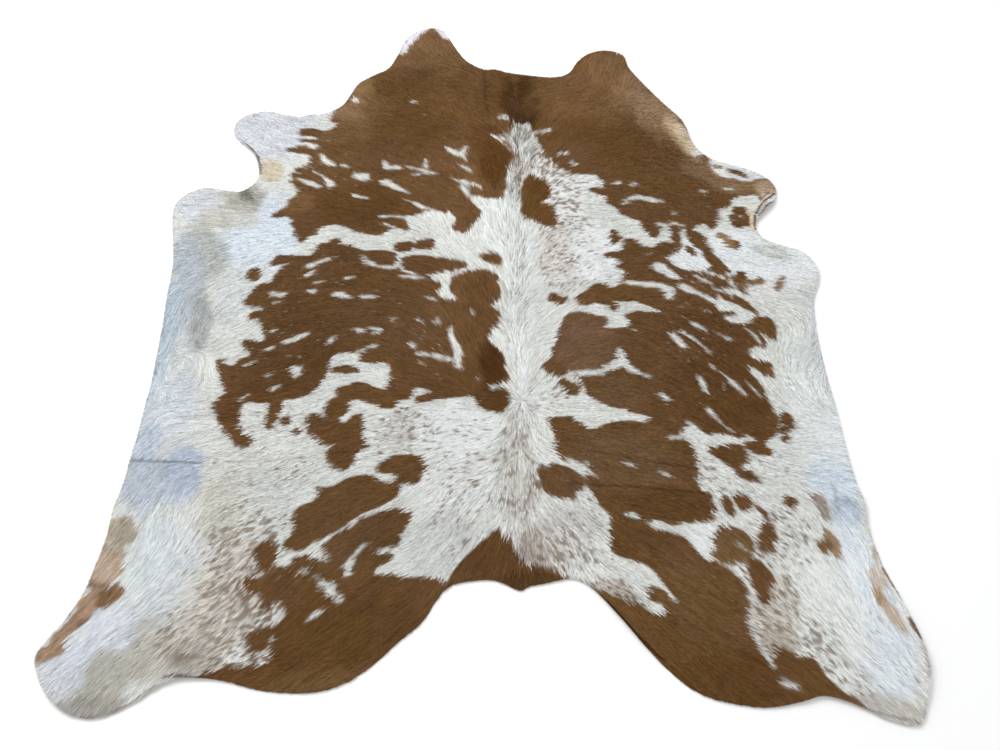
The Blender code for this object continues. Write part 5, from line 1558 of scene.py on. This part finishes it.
class HIDE_OT_stage(bpy.types.Operator):
    """Set up the floor, the light and the camera"""
    bl_idname = "hide.stage"
    bl_label = "Stage"

    def execute(self, context):
        settings = context.scene.hide_stage
        bm = bmesh.new()
        bmesh.ops.create_grid(bm, x_segments=1, y_segments=1, size=0.5 * settings.floor_size)
        mesh = bpy.data.meshes.new("floor")
        bm.to_mesh(mesh)
        bm.free()
        floor = bpy.data.objects.new("floor", mesh)
        context.scene.collection.objects.link(floor)
        material, _, shader = new_material("pale floor")
        shader.inputs["Base Color"].default_value = (*settings.floor_colour, 1)
        shader.inputs["Roughness"].default_value = 0.9
        shader.inputs["Specular IOR Level"].default_value = 0.1
        mesh.materials.append(material)
        world = bpy.data.worlds.new("soft daylight")
        world.use_nodes = True
        background = world.node_tree.nodes["Background"]
        background.inputs["Strength"].default_value = settings.sky
        background.inputs["Color"].default_value = SKY_COLOUR
        context.scene.world = world
        light = bpy.data.lights.new("window", "AREA")
        light.energy = settings.lamp
        light.shape = "DISK"
        light.size = LAMP_SIZE
        lamp = bpy.data.objects.new("window", light)
        lamp.location = LAMP_PLACE
        lamp.rotation_euler = (-lamp.location).to_track_quat("-Z", "Y").to_euler()
        context.scene.collection.objects.link(lamp)
        lens = bpy.data.cameras.new("camera")
        lens.lens = settings.lens
        lens.sensor_width = 36.0
        lens.sensor_fit = "HORIZONTAL"
        lens.clip_end = 100.0
        camera = bpy.data.objects.new("camera", lens)
        camera.location = settings.eye
        camera.rotation_euler = (math.radians(90) - settings.pitch, 0, 0)
        context.scene.collection.objects.link(camera)
        context.scene.camera = camera
        context.scene.view_settings.view_transform = "Standard"
        return {"FINISHED"}


class HIDE_PT_cowhide(bpy.types.Panel):
    """Buttons that build the rug, and their settings"""
    bl_idname = "HIDE_PT_cowhide"
    bl_label = "Cowhide Rug"
    bl_space_type = "VIEW_3D"
    bl_region_type = "UI"
    bl_category = "Cowhide"

    def draw(self, context):
        for operator, group in STEPS:
            box = self.layout.box()
            box.operator(operator.bl_idname)
            settings = getattr(context.scene, group)
            for name in settings.__annotations__:
                box.prop(settings, name)


STEPS = (
    (HIDE_OT_skin, "hide_skin"),
    (HIDE_OT_coat, "hide_coat"),
    (HIDE_OT_crest, "hide_crest"),
    (HIDE_OT_stage, "hide_stage"),
)
SETTINGS = {
    "hide_skin": HideSkinSettings,
    "hide_coat": HideCoatSettings,
    "hide_crest": HideCrestSettings,
    "hide_stage": HideStageSettings,
}


def register():
    """Adds the settings, the operators and the panel."""
    for group, settings in SETTINGS.items():
        bpy.utils.register_class(settings)
        setattr(bpy.types.Scene, group, bpy.props.PointerProperty(type=settings))
    for operator, _ in STEPS:
        bpy.utils.register_class(operator)
    bpy.utils.register_class(HIDE_PT_cowhide)


def unregister():
    """Takes them away again."""
    bpy.utils.unregister_class(HIDE_PT_cowhide)
    for operator, _ in reversed(STEPS):
        bpy.utils.unregister_class(operator)
    for group, settings in reversed(SETTINGS.items()):
        delattr(bpy.types.Scene, group)
        bpy.utils.unregister_class(settings)


def main():
    """Builds the rug and its stage."""
    register()
    bpy.ops.hide.skin()
    bpy.ops.hide.coat()
    bpy.ops.hide.crest()
    bpy.ops.hide.stage()


if __name__ == "__main__":
    main()
